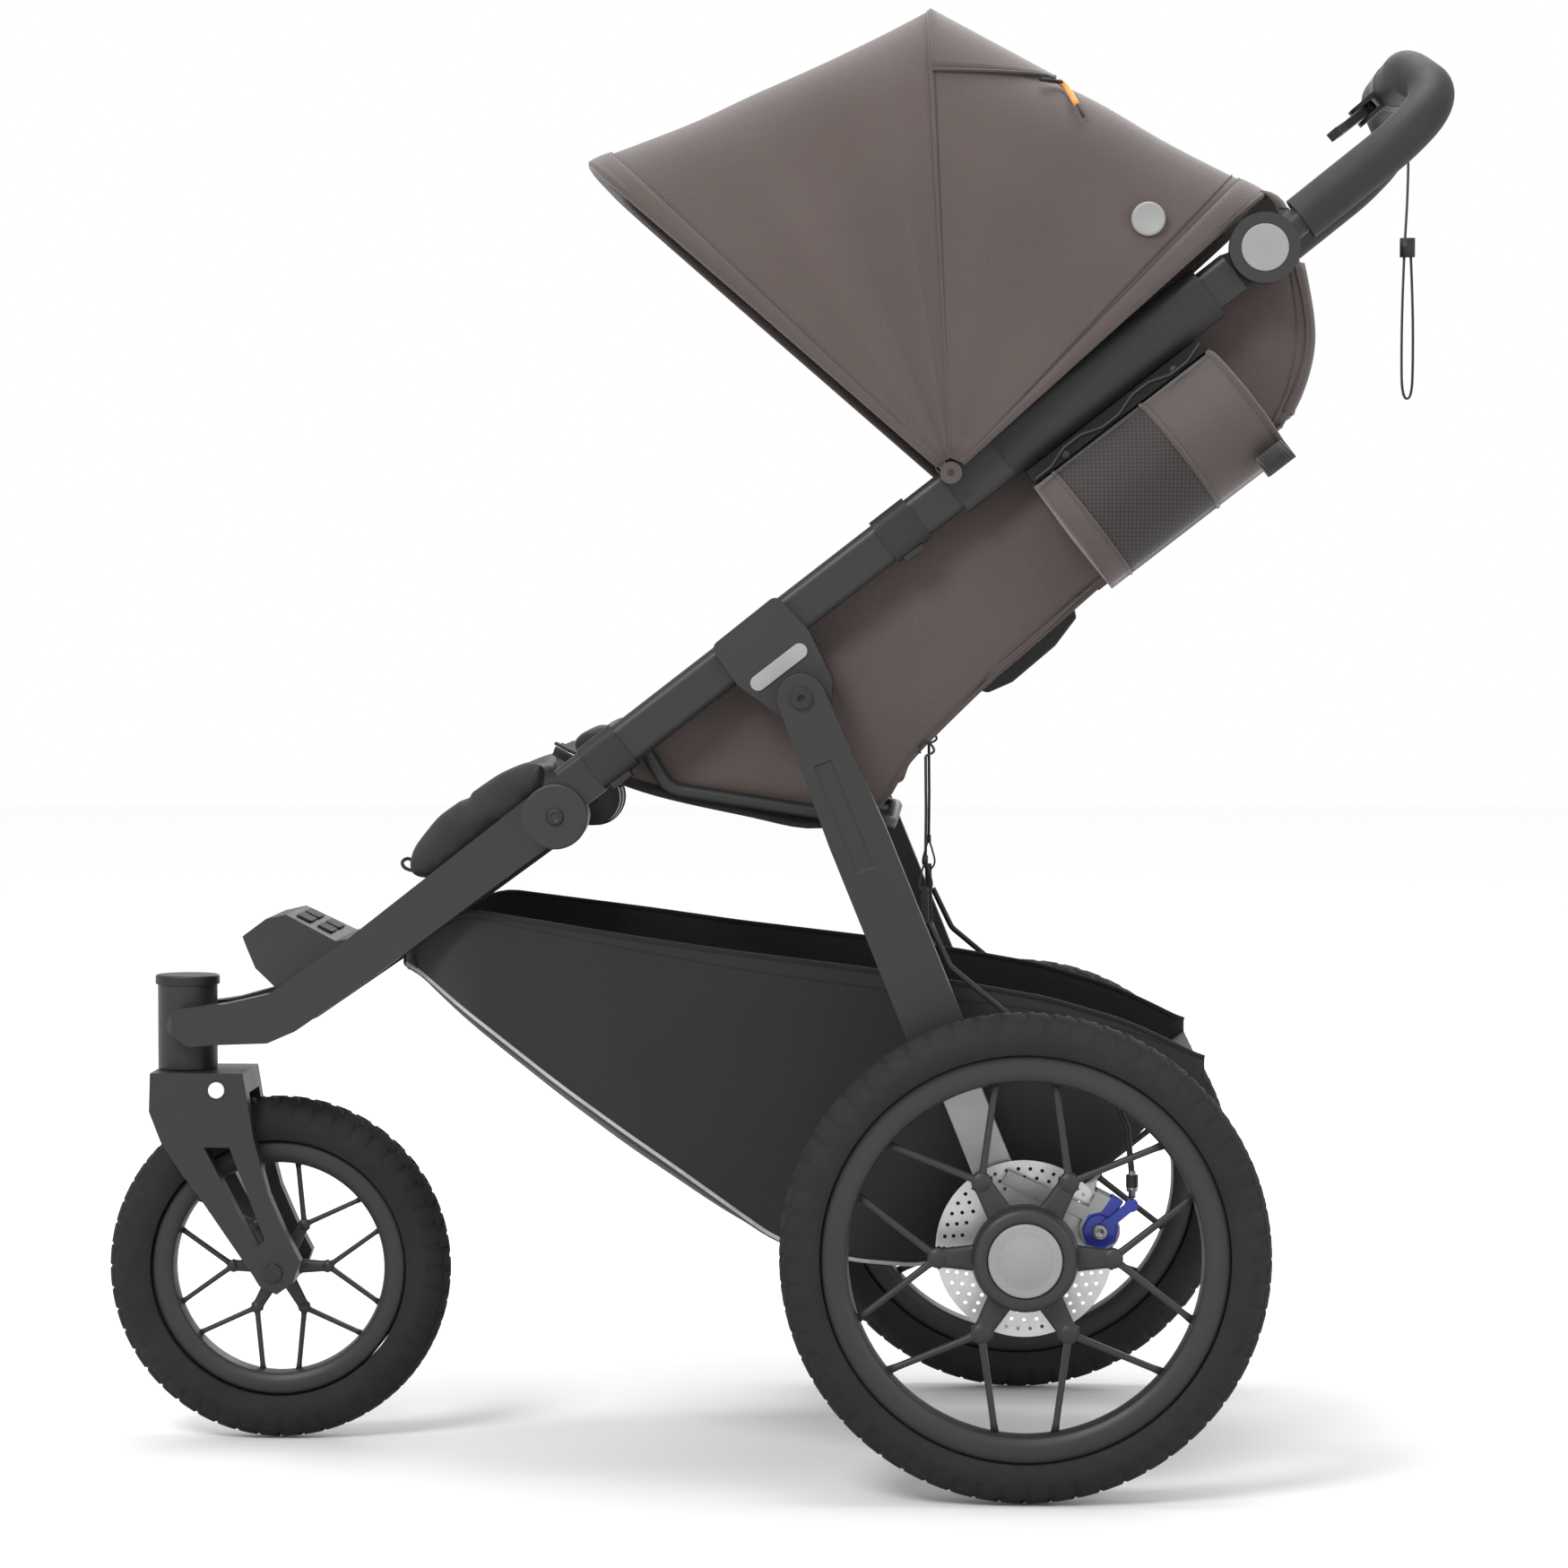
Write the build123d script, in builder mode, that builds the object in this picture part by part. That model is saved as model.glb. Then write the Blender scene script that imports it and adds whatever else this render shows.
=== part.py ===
"""Jogging stroller, in millimetres.

Z is up, X runs from the front wheel (-X) to the handlebar (+X), and Y = 0 is the middle plane.
The -Y side is the left side. The origin is on the floor, under the middle of the overall length.
Side-view points are given from the rear axle, on the floor, and moved by axle_x.
"""
from build123d import *
import math
import os

os.makedirs("parts", exist_ok=True)

# ---- driving dimensions -------------------------------------------------------------------
rear_wheel_d = 400
front_wheel_d = 300
wheelbase = 649
track = 608
tyre_w = 46
rear_tyre_h = 32
rear_rim_h = 23
front_tyre_h = 37
front_rim_h = 20
rim_w = 28
handle_reach = 354          # rear axle to the back of the handlebar

rail_angle = 37.7           # slope of the main rails, degrees
hub_x, hub_z = 195.4, 1021.7
rail_y = 215                # middle of each main rail
rail_w = 26
rail_h = 36
rail_wall = 2.5
rail_len = 747

leg_gap = 8                 # rail's outer face to leg's inner face
leg_w = 26
leg_h = 49
pivot_x, pivot_z = -183.2, 653.3      # rear leg pivot
fold_x, fold_z = -387.7, 554.6        # fold joint

grip_d = 38
bar_d = 24
arm_y = 226
canopy_x, canopy_z = -61, 838         # canopy pivot
bow_d = 6.6
head_x = -730
head_d = 52
head_bore = 32

running = 0.05              # radial clearance of a pin in its bore
gap = 0.3                   # clearance beside soft goods

# ---- derived frame ------------------------------------------------------------------------
axle_x = (wheelbase + front_wheel_d / 2 - handle_reach) / 2
axle_z = rear_wheel_d / 2
front_z = front_wheel_d / 2
rear_bead_r = rear_wheel_d / 2 - rear_tyre_h
rear_rim_inner_r = rear_bead_r - rear_rim_h
front_bead_r = front_wheel_d / 2 - front_tyre_h
front_rim_inner_r = front_bead_r - front_rim_h
front_x = axle_x - wheelbase
slope = math.radians(rail_angle)
rail_dir = (math.cos(slope), math.sin(slope))
rail_up = (-math.sin(slope), math.cos(slope))
ALONG_RAIL = Vector(-rail_dir[0], 0, -rail_dir[1])
RAIL_NORMAL = Vector(rail_up[0], 0, rail_up[1])


def behind(x, z):
    """A side-view point given from the rear axle, in the model's frame."""
    return (x + axle_x, z)


def outline(points):
    return [behind(x, z) for x, z in points]


def side(y):
    """Upright plane y to the left of the middle: X to the right, Z up, normal to the left."""
    return Plane.XZ.offset(y)


def mirrored_plan(stations):
    """Outline seen from above, from half widths at stations given from the rear axle."""
    left = [(x + axle_x, -half) for x, half in stations]
    right = [(x + axle_x, half) for x, half in reversed(stations)]
    return left + right


def on_rail(along, up=0):
    """Side-view point a distance down the rail from the handle hub, and up from its middle."""
    return behind(
        hub_x - along * rail_dir[0] + up * rail_up[0],
        hub_z - along * rail_dir[1] + up * rail_up[1],
    )


def rail_plane(along, y=rail_y):
    """Plane across the left rail, normal down the rail."""
    x, z = on_rail(along)
    return Plane(origin=(x, -y, z), x_dir=RAIL_NORMAL, z_dir=ALONG_RAIL)


def save(part, name):
    part.label = name
    export_step(part, f"parts/{name}.step")


def save_pair(left, name):
    """Writes a left piece and its mirror image."""
    save(left, f"{name}_left")
    save(mirror(left, about=Plane.XZ), f"{name}_right")


HUB = behind(hub_x, hub_z)
PIVOT = behind(pivot_x, pivot_z)
FOLD = behind(fold_x, fold_z)
CANOPY = behind(canopy_x, canopy_z)
AXLE = behind(0, axle_z)
rail_in = rail_y - rail_w / 2
rail_out = rail_y + rail_w / 2
leg_in = rail_out + leg_gap
leg_out = leg_in + leg_w
HEAD = (head_x + axle_x, 0)
head_bottom, head_top = 324.5, 398

# ---- main rails: tube, handle knuckle, fold knuckle and canopy collar ------------------------
knuckle_r = 25
hub_disc_r = 29
knuckle_in, knuckle_out = rail_in - 2, rail_in + 16
hub_pin_r = 8
handle_in, handle_out = knuckle_out + 0.3, rail_y + 25
button_r = 19.4
button_recess = 9.3
fold_knuckle_r = 26
fold_block = (42, 34)
fold_pin_r = 5
collar_along, collar_len, collar_h = 298, 50, 46
bow_y_mid = rail_out + 8
bow_y_front = bow_y_mid + bow_d + 0.4
canopy_pin_r = 3

with BuildPart() as main_rail:
    with BuildSketch(rail_plane(31)):
        RectangleRounded(rail_h, rail_w, 8)
        RectangleRounded(rail_h - 2 * rail_wall, rail_w - 2 * rail_wall, 6, mode=Mode.SUBTRACT)
    extrude(amount=rail_len - 31 - fold_knuckle_r + 4)
    with BuildSketch(side(knuckle_in)):
        with Locations(HUB):
            Circle(knuckle_r)
        with Locations(on_rail(24)):
            Rectangle(40, rail_h - 4, rotation=rail_angle)
    extrude(amount=knuckle_out - knuckle_in)
    with BuildSketch(side(knuckle_in)):
        with Locations(HUB):
            Circle(hub_pin_r)
    extrude(amount=handle_out - button_recess - 1 - knuckle_in)
    with BuildSketch(side(rail_in + 1)):
        with Locations(FOLD):
            Circle(fold_knuckle_r)
        with Locations(on_rail(rail_len - 5 - fold_block[0] / 2, -4)):
            Rectangle(*fold_block, rotation=rail_angle)
    extrude(amount=rail_w - 1)
    with BuildSketch(side(rail_in - 26)):
        with Locations(FOLD):
            Circle(fold_pin_r)
    extrude(amount=27)
    with BuildSketch(rail_plane(collar_along - collar_len / 2)):
        RectangleRounded(collar_h, rail_w + 3.6, 9)
        RectangleRounded(rail_h - 1, rail_w - 1, 7, mode=Mode.SUBTRACT)
    extrude(amount=collar_len)
    with BuildSketch(side(rail_out)):
        with Locations(CANOPY):
            Circle(canopy_pin_r)
    extrude(amount=bow_y_front + bow_d / 2 - rail_out)
save_pair(main_rail.part, "main_rail")

# ---- rail brackets, which carry the rear legs --------------------------------------------------
bracket_in, bracket_out = rail_in - 3, rail_out + 7.7
bracket_outline = outline(
    [(-259, 695), (-205, 738), (-178, 709), (-158, 668), (-160, 645), (-196, 634), (-237, 664)]
)
leg_pin_r = 6

with BuildPart() as rail_brackets:
    with BuildSketch(side(bracket_in)):
        with BuildLine():
            Polyline(*bracket_outline, close=True)
        make_face()
        fillet(vertices(), 7)
        with Locations(PIVOT):
            Circle(20)
    extrude(amount=bracket_out - bracket_in)
    with BuildSketch(rail_plane(460)):
        RectangleRounded(rail_h, rail_w, 8)
    extrude(amount=120, mode=Mode.SUBTRACT)
    with BuildSketch(side(bracket_in)):
        with Locations(PIVOT):
            Circle(leg_pin_r)
    extrude(amount=bracket_out - bracket_in, mode=Mode.SUBTRACT)
    mirror(about=Plane.XZ)
save(rail_brackets.part, "rail_brackets")

inlay_len, inlay_w, inlay_t = 56, 13, 1.5
with BuildPart() as bracket_inlays:
    with BuildSketch(side(bracket_out)):
        with Locations(behind(-202.5, 678.5)):
            SlotOverall(inlay_len, inlay_w, rotation=rail_angle)
    extrude(amount=inlay_t)
    mirror(about=Plane.XZ)
save(bracket_inlays.part, "bracket_inlays")

with BuildPart() as leg_pivot_bolts:
    with BuildSketch(side(bracket_in)):
        with Locations(PIVOT):
            Circle(leg_pin_r)
    extrude(amount=leg_out + 0.6 - bracket_in)
    with BuildSketch(side(leg_out + 0.6)):
        with Locations(PIVOT):
            Circle(9)
            RegularPolygon(3, 6, mode=Mode.SUBTRACT)
    extrude(amount=3)
    mirror(about=Plane.XZ)
save(leg_pivot_bolts.part, "leg_pivot_bolts")

# ---- leatherette sleeves round the upper rails, and the seat's loops ---------------------------
sleeve_start, sleeve_end = 58, collar_along - collar_len / 2
sleeve_h = 48
with BuildPart() as rail_sleeves:
    with BuildSketch(rail_plane(sleeve_start)):
        RectangleRounded(sleeve_h, rail_w + 8, 13)
        RectangleRounded(rail_h, rail_w, 8, mode=Mode.SUBTRACT)
    extrude(amount=sleeve_end - sleeve_start)
    mirror(about=Plane.XZ)
save(rail_sleeves.part, "rail_sleeves")

loop_len = 34
with BuildPart() as seat_loops:
    for along in (377, 683):
        with BuildSketch(rail_plane(along - loop_len / 2)):
            RectangleRounded(rail_h + 5, rail_w + 5, 10)
            RectangleRounded(rail_h, rail_w, 8, mode=Mode.SUBTRACT)
        extrude(amount=loop_len)
    mirror(about=Plane.XZ)
save(seat_loops.part, "seat_loops")

# ---- fold joint covers ----------------------------------------------------------------------
with BuildPart() as fold_discs:
    with BuildSketch(side(rail_out)):
        with Locations(FOLD):
            Circle(fold_knuckle_r + 1)
    extrude(amount=6)
    fillet(fold_discs.faces().sort_by(Axis.Y)[0].edges(), 2)
    with BuildSketch(side(rail_out + 6)):
        with Locations(FOLD):
            Circle(5.5)
    extrude(amount=2)
    mirror(about=Plane.XZ)
save(fold_discs.part, "fold_discs")

# ---- front rails: from the fold joint down to the head tube ------------------------------------
front_knuckle_r = 25
front_in = rail_in - 25
front_out = rail_in - 0.4
front_side = outline(
    [
        (-403, 577), (-505, 499), (-579, 442), (-649, 394.5), (-690, 384), (-736, 378),
        (-745, 362), (-724, 346), (-650, 352), (-624, 363.6), (-549, 415.4), (-452.7, 486.4),
        (-376, 543),
    ]
)
front_plan = [
    (-361, -front_out), (-415, -front_out), (-640, -80), (-700, -47), (-738, -43), (-746, -34),
    (-742, -24), (-700, -22), (-640, -54), (-420, -front_in), (-361, -front_in),
]
with BuildPart() as front_rails:
    with BuildSketch(side(0)):
        with BuildLine():
            Polyline(*front_side, close=True)
        make_face()
        fillet(vertices().sort_by(Axis.X)[0:4], 7)
        with Locations(FOLD):
            Circle(front_knuckle_r)
    extrude(amount=front_out)
    with BuildSketch(Plane.XY.offset(300)):
        with BuildLine():
            Polyline(*[(x + axle_x, y) for x, y in front_plan], close=True)
        make_face()
    extrude(amount=300, mode=Mode.INTERSECT)
    with Locations((HEAD[0], 0, 300)):
        Cylinder(head_d / 2, 300, mode=Mode.SUBTRACT)
    with BuildSketch(side(front_in - 1)):
        with Locations(FOLD):
            Circle(fold_pin_r + running)
    extrude(amount=30, mode=Mode.SUBTRACT)
    mirror(about=Plane.XZ)
save(front_rails.part, "front_rails")

# ---- head tube, its bearings and the swivel lock knob ------------------------------------------
bearing_r, bearing_h = 22, 12
steerer_r = 15
with BuildPart() as head_tube:
    with Locations((HEAD[0], 0, (head_bottom + head_top) / 2)):
        Cylinder(head_d / 2, head_top - head_bottom)
        Cylinder(head_bore / 2, head_top - head_bottom, mode=Mode.SUBTRACT)
    for z in (head_bottom + bearing_h / 2, head_top - bearing_h / 2):
        with Locations((HEAD[0], 0, z)):
            Cylinder(bearing_r, bearing_h, mode=Mode.SUBTRACT)
save(head_tube.part, "head_tube")

with BuildPart() as head_bearings:
    for z in (head_bottom + bearing_h / 2, head_top - bearing_h / 2):
        with Locations((HEAD[0], 0, z)):
            Cylinder(bearing_r, bearing_h)
            Cylinder(steerer_r + running, bearing_h, mode=Mode.SUBTRACT)
save(head_bearings.part, "head_bearings")

knob_z = head_top + gap
with BuildPart() as swivel_knob:
    with BuildSketch(Plane.XY.offset(knob_z)):
        with Locations(HEAD):
            Circle(28)
    extrude(amount=8)
    fillet(swivel_knob.faces().sort_by(Axis.Z)[-1].edges(), 2)
    with BuildSketch(Plane.XY.offset(head_top - bearing_h - 6)):
        with Locations(HEAD):
            Circle(6)
    extrude(amount=bearing_h + 6 + gap)
save(swivel_knob.part, "swivel_knob")

# ---- fork with its steerer, axle and release button ---------------------------------------------
fork_in, fork_out = 30, 48
fork_side = outline(
    [
        (-756, 323.5), (-757, 290), (-747, 264), (-728, 235), (-715, 218), (-679, 166),
        (-667, 148), (-661, 138), (-646, 131), (-632, 141), (-625.4, 160), (-640, 188),
        (-653, 218), (-666, 268), (-671, 300), (-675, 323.5),
    ]
)
steerer_bore = 6.3
front_axle_r = 5
with BuildPart() as fork:
    with BuildSketch(side(-fork_out)):
        with BuildLine():
            Polyline(*fork_side, close=True)
        make_face()
        with BuildLine():
            Polyline(*outline([(-709, 259), (-687, 259), (-656, 178), (-664, 172)]), close=True)
        make_face(mode=Mode.SUBTRACT)
    extrude(amount=2 * fork_out)
    with BuildSketch(side(-fork_in)):
        with Locations((front_x, front_z)):
            Circle(front_wheel_d / 2 + 7)
    extrude(amount=2 * fork_in, mode=Mode.SUBTRACT)
    with BuildSketch(Plane.XY.offset(323)):
        with Locations(HEAD):
            Circle(steerer_r)
    extrude(amount=head_top - 323 - 1)
    with BuildSketch(Plane.XY.offset(head_top - 40)):
        with Locations(HEAD):
            Circle(steerer_bore)
    extrude(amount=60, mode=Mode.SUBTRACT)
    with BuildSketch(side(-fork_out - 5)):
        with Locations((front_x, front_z)):
            Circle(front_axle_r)
    extrude(amount=2 * fork_out + 10, mode=Mode.SUBTRACT)
    with BuildSketch(side(fork_out - 10)):
        with Locations(behind(-697.8, 309)):
            Circle(7.1)
    extrude(amount=20, mode=Mode.SUBTRACT)
save(fork.part, "fork")

with BuildPart() as front_axle:
    with BuildSketch(side(-fork_out)):
        with Locations((front_x, front_z)):
            Circle(front_axle_r)
    extrude(amount=2 * fork_out)
    for plane in (side(fork_out), side(-fork_out - 3)):
        with BuildSketch(plane):
            with Locations((front_x, front_z)):
                Circle(8)
        extrude(amount=3)
save(front_axle.part, "front_axle")

with BuildPart() as fork_button:
    with BuildSketch(side(fork_out - 6)):
        with Locations(behind(-697.8, 309)):
            Circle(7.05)
    extrude(amount=9)
save(fork_button.part, "fork_button")


# ---- wheels -------------------------------------------------------------------------------------
def tyre(radius, bead, centre):
    """A tyre whose bore sits on the rim's bead, turned about the wheel's axle."""
    depth = (radius - bead) / 2 + 6
    with BuildPart() as ring:
        with BuildSketch(Plane.XY):
            with Locations((radius - depth, 0)):
                Ellipse(depth, tyre_w / 2)
            with Locations((bead / 2, 0)):
                Rectangle(bead, tyre_w + 2, mode=Mode.SUBTRACT)
        revolve(axis=Axis.Y)
    return ring.part.moved(Location(centre))


def spoked_rim(bead, inner, hub_r, node_r, arm_w, spoke_w, hub_w, bore, centre):
    """Rim, paired spokes and hub in one casting. Six nodes carry two spokes each."""
    spread = 20.5
    with BuildPart() as rim:
        with BuildSketch(Plane.XZ):
            for k in range(6):
                a = math.radians(60 * k)
                node = (node_r * math.cos(a), node_r * math.sin(a))
                with BuildLine():
                    Line((0, 0), node)
                trace(line_width=arm_w)
                for turn in (-spread, spread):
                    b = math.radians(60 * k + turn)
                    foot = ((inner + 2) * math.cos(b), (inner + 2) * math.sin(b))
                    with BuildLine():
                        Line(node, foot)
                    trace(line_width=spoke_w)
        extrude(amount=4.5, both=True)
        with BuildSketch(Plane.XZ):
            Circle(bead)
            Circle(inner, mode=Mode.SUBTRACT)
        extrude(amount=rim_w / 2, both=True)
        with BuildSketch(Plane.XZ):
            Circle(hub_r)
        extrude(amount=hub_w / 2, both=True)
        with BuildSketch(Plane.XZ):
            Circle(bore)
        extrude(amount=hub_w, both=True, mode=Mode.SUBTRACT)
    return rim.part.moved(Location(centre))


FRONT_CENTRE = (front_x, 0, front_z)
front_hub_w = 2 * fork_in - 1
save(tyre(front_wheel_d / 2, front_bead_r, FRONT_CENTRE), "front_tyre")
save(
    spoked_rim(
        front_bead_r, front_rim_inner_r, 16, 42, 9, 4.5, front_hub_w, front_axle_r + running,
        FRONT_CENTRE,
    ),
    "front_rim",
)

rear_hub_r = 42
rear_hub_w = 40
stub_r = 8
wheel_y = track / 2
REAR_CENTRE = (AXLE[0], -wheel_y, AXLE[1])
save_pair(tyre(rear_wheel_d / 2, rear_bead_r, REAR_CENTRE), "rear_tyre")

cap_r, cap_depth, cap_travel = 30, 8, 3
rear_rim_blank = spoked_rim(
    rear_bead_r, rear_rim_inner_r, rear_hub_r, 71, 15, 6, rear_hub_w, stub_r + running,
    REAR_CENTRE,
)
with BuildPart() as rear_rim:
    add(rear_rim_blank)
    with BuildSketch(side(wheel_y + rear_hub_w / 2 - cap_depth)):
        with Locations(AXLE):
            Circle(cap_r + 0.08)
    extrude(amount=cap_depth + 1, mode=Mode.SUBTRACT)
save_pair(rear_rim.part, "rear_rim")

with BuildPart() as release_cap:
    with BuildSketch(side(wheel_y + rear_hub_w / 2 - cap_depth + cap_travel + 0.5)):
        with Locations(AXLE):
            Circle(cap_r)
    extrude(amount=cap_depth - cap_travel - 0.5 + 2.5)
    fillet(release_cap.faces().sort_by(Axis.Y)[0].edges(), 1.5)
save_pair(release_cap.part, "release_cap")

disc_y, disc_t, disc_r = 244, 2, 73
with BuildPart() as brake_disc:
    with BuildSketch(side(disc_y - disc_t / 2)):
        with Locations(AXLE):
            Circle(disc_r)
            Circle(18, mode=Mode.SUBTRACT)
            for ring_r, count in ((66, 42), (59, 36), (52, 30)):
                with PolarLocations(ring_r, count):
                    Circle(1.6, mode=Mode.SUBTRACT)
    extrude(amount=disc_t)
    with BuildSketch(side(disc_y + disc_t / 2)):
        with Locations(AXLE):
            Circle(30)
            Circle(stub_r + running, mode=Mode.SUBTRACT)
    extrude(amount=wheel_y - rear_hub_w / 2 - disc_y - disc_t / 2)
save_pair(brake_disc.part, "brake_disc")

# ---- rear legs, axle and brakes -------------------------------------------------------------------
leg_dx, leg_dz = AXLE[0] - PIVOT[0], AXLE[1] - PIVOT[1]
leg_full = math.hypot(leg_dx, leg_dz)
leg_dir = (leg_dx / leg_full, leg_dz / leg_full)
leg_across = (-leg_dir[1], leg_dir[0])
leg_top_r, leg_shaft = 20, 318


def on_leg(along, across=0):
    """Side-view point a distance down the leg from its pivot, and towards the handlebar."""
    return (
        PIVOT[0] + along * leg_dir[0] + across * leg_across[0],
        PIVOT[1] + along * leg_dir[1] + across * leg_across[1],
    )


with BuildPart() as rear_leg:
    with BuildSketch(side(leg_in)):
        with BuildLine():
            Polyline(
                on_leg(0, -leg_top_r), on_leg(120, -leg_h / 2), on_leg(leg_shaft, -leg_h / 2),
                on_leg(leg_shaft - 24, leg_h / 2), on_leg(120, leg_h / 2), on_leg(0, leg_top_r),
                close=True,
            )
        make_face()
        with Locations(PIVOT):
            Circle(leg_top_r)
    extrude(amount=leg_w)
    with BuildSketch(side(leg_out - 1.5)):
        with BuildLine():
            Line(on_leg(56, -4), on_leg(150, -4))
        trace(line_width=15)
    extrude(amount=3, mode=Mode.SUBTRACT)
    with BuildSketch(side(leg_in - 1)):
        with Locations(PIVOT):
            Circle(leg_pin_r + running)
    extrude(amount=leg_w + 2, mode=Mode.SUBTRACT)
save_pair(rear_leg.part, "rear_leg")

plate_in, plate_out = leg_in - 12, leg_in
axle_tube_r = 11
with BuildPart() as rear_axle:
    with BuildSketch(side(-plate_out)):
        with Locations(AXLE):
            Circle(axle_tube_r)
    extrude(amount=2 * plate_out)
    for plane in (side(plate_in), side(-plate_out)):
        with BuildSketch(plane):
            with BuildLine():
                Line(on_leg(leg_shaft - 90), on_leg(leg_full))
            trace(line_width=34)
            with Locations(AXLE):
                Circle(20)
        extrude(amount=plate_out - plate_in)
    with BuildSketch(side(-wheel_y - rear_hub_w / 2 + cap_depth + 1)):
        with Locations(AXLE):
            Circle(stub_r)
    extrude(amount=2 * (wheel_y + rear_hub_w / 2 - cap_depth - 1))
save(rear_axle.part, "rear_axle")

caliper_x, caliper_z = 61.5 + axle_x, 216.4
arm_pin = (caliper_x, caliper_z)
caliper_out = disc_y + 12
with BuildPart() as calipers:
    with BuildSketch(side(plate_in + 1)):
        with Locations((caliper_x, caliper_z)):
            Circle(17)
        with BuildLine():
            Line((caliper_x - 2, caliper_z + 10), on_leg(leg_full - 62, 8))
        trace(line_width=12)
        with BuildLine():
            Line((caliper_x - 4, caliper_z + 14), (caliper_x + 4, caliper_z + 30))
        trace(line_width=14)
    extrude(amount=caliper_out - plate_in - 1)
    with BuildSketch(side(plate_in)):
        with Locations(AXLE):
            Circle(disc_r + 2)
    extrude(amount=30, mode=Mode.SUBTRACT)
    with BuildSketch(side(plate_in + 1)):
        with Locations((caliper_x, caliper_z)):
            Circle(17)
    extrude(amount=5)
    with BuildSketch(side(disc_y + disc_t / 2 + 0.6)):
        with Locations((caliper_x, caliper_z)):
            Circle(17)
    extrude(amount=caliper_out - disc_y - disc_t / 2 - 0.6)
    with BuildSketch(side(caliper_out)):
        with Locations(arm_pin):
            Circle(4)
    extrude(amount=9)
    mirror(about=Plane.XZ)
save(calipers.part, "calipers")

arm_tip = behind(87.6, 238)
with BuildPart() as caliper_arm:
    with BuildSketch(side(caliper_out + gap)):
        with Locations(arm_pin):
            Circle(13)
        with BuildLine():
            Line(arm_pin, arm_tip)
        trace(line_width=8)
        with Locations(arm_tip):
            Circle(5.5)
        with Locations(arm_pin):
            Circle(4 + running, mode=Mode.SUBTRACT)
    extrude(amount=6)
save_pair(caliper_arm.part, "caliper_arm")

cable_r, cable_bend = 2.5, 16
cable_y = caliper_out + 3
cable_route = [
    on_leg(210, leg_h / 2 + 3.4), on_leg(250, leg_h / 2 + 6), behind(24, 362), behind(66, 344),
    behind(84, 302), behind(88, 262),
]
cable_points = [(x, -y, z) for (x, z), y in zip(cable_route, (250, 250, 250, 252, 257, cable_y))]
with BuildPart() as brake_cables:
    with BuildLine() as cable_line:
        FilletPolyline(*cable_points, radius=cable_bend)
    with BuildSketch(Plane(origin=cable_line.line @ 0, z_dir=cable_line.line % 0)):
        Circle(cable_r)
    sweep(path=cable_line.line)
    with BuildSketch(Plane.XY.offset(253)):
        with Locations((cable_points[-1][0], cable_points[-1][1])):
            Circle(5)
    extrude(amount=10)
    mirror(about=Plane.XZ)
save(brake_cables.part, "brake_cables")

with BuildPart() as parking_pedal:
    with BuildSketch(side(-45)):
        with Locations(AXLE):
            Circle(axle_tube_r + 6)
        with BuildLine():
            Polyline(
                (AXLE[0], AXLE[1] + 14), behind(46, axle_z + 4), behind(78, axle_z - 4),
                behind(78, axle_z - 12), behind(44, axle_z - 8), (AXLE[0], AXLE[1] - 14),
                close=True,
            )
        make_face()
        with Locations(AXLE):
            Circle(axle_tube_r + running, mode=Mode.SUBTRACT)
    extrude(amount=90)
save(parking_pedal.part, "parking_pedal")

# ---- handlebar, grips, tilt buttons, brake lever and wrist strap -----------------------------------
bar_x, bar_z = behind(320, 1177)
arm_angle = math.radians(38.6)
arm_dir = (math.cos(arm_angle), math.sin(arm_angle))


def on_arm(along):
    return (HUB[0] + along * arm_dir[0], -arm_y, HUB[1] + along * arm_dir[1])


corner_x = axle_x + handle_reach - grip_d / 2 + 7
arm_bend, arm_corner = on_arm(139), (corner_x, -205, 1148)
bar_end = (bar_x, -128, bar_z)
clamp_half = 22


def bar_path(start, stop):
    """Left half of the bar's centre line, from along the arm to stop on the crossbar."""
    return FilletPolyline(
        on_arm(start), arm_bend, arm_corner, bar_end, (bar_x, -stop, bar_z), radius=[80, 55, 120]
    )


with BuildPart() as handlebar:
    with BuildLine() as left_half:
        bar_path(26, 0)
    with BuildSketch(Plane(origin=left_half.line @ 0, z_dir=left_half.line % 0)):
        Circle(bar_d / 2)
    sweep(path=left_half.line)
    with BuildSketch(side(handle_in)):
        with Locations(HUB):
            Circle(hub_disc_r)
    extrude(amount=handle_out - handle_in)
    with BuildSketch(side(handle_out - button_recess)):
        with Locations(HUB):
            Circle(button_r + 0.08)
    extrude(amount=button_recess, mode=Mode.SUBTRACT)
    with BuildSketch(side(handle_in)):
        with Locations(HUB):
            Circle(hub_pin_r + running)
    extrude(amount=20, mode=Mode.SUBTRACT)
    mirror(about=Plane.XZ)
save(handlebar.part, "handlebar")

with BuildPart() as handle_grips:
    with BuildLine() as grip_line:
        bar_path(38, clamp_half)
    with BuildSketch(Plane(origin=grip_line.line @ 0, z_dir=grip_line.line % 0)):
        Circle(grip_d / 2)
        Circle(bar_d / 2, mode=Mode.SUBTRACT)
    sweep(path=grip_line.line)
    mirror(about=Plane.XZ)
save(handle_grips.part, "handle_grips")

button_in = handle_out - button_recess + 3.6
with BuildPart() as handle_button:
    with BuildSketch(side(button_in)):
        with Locations(HUB):
            Circle(button_r)
    extrude(amount=handle_out + 1.5 - button_in)
    fillet(handle_button.faces().sort_by(Axis.Y)[0].edges(), 1)
save_pair(handle_button.part, "handle_button")

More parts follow.
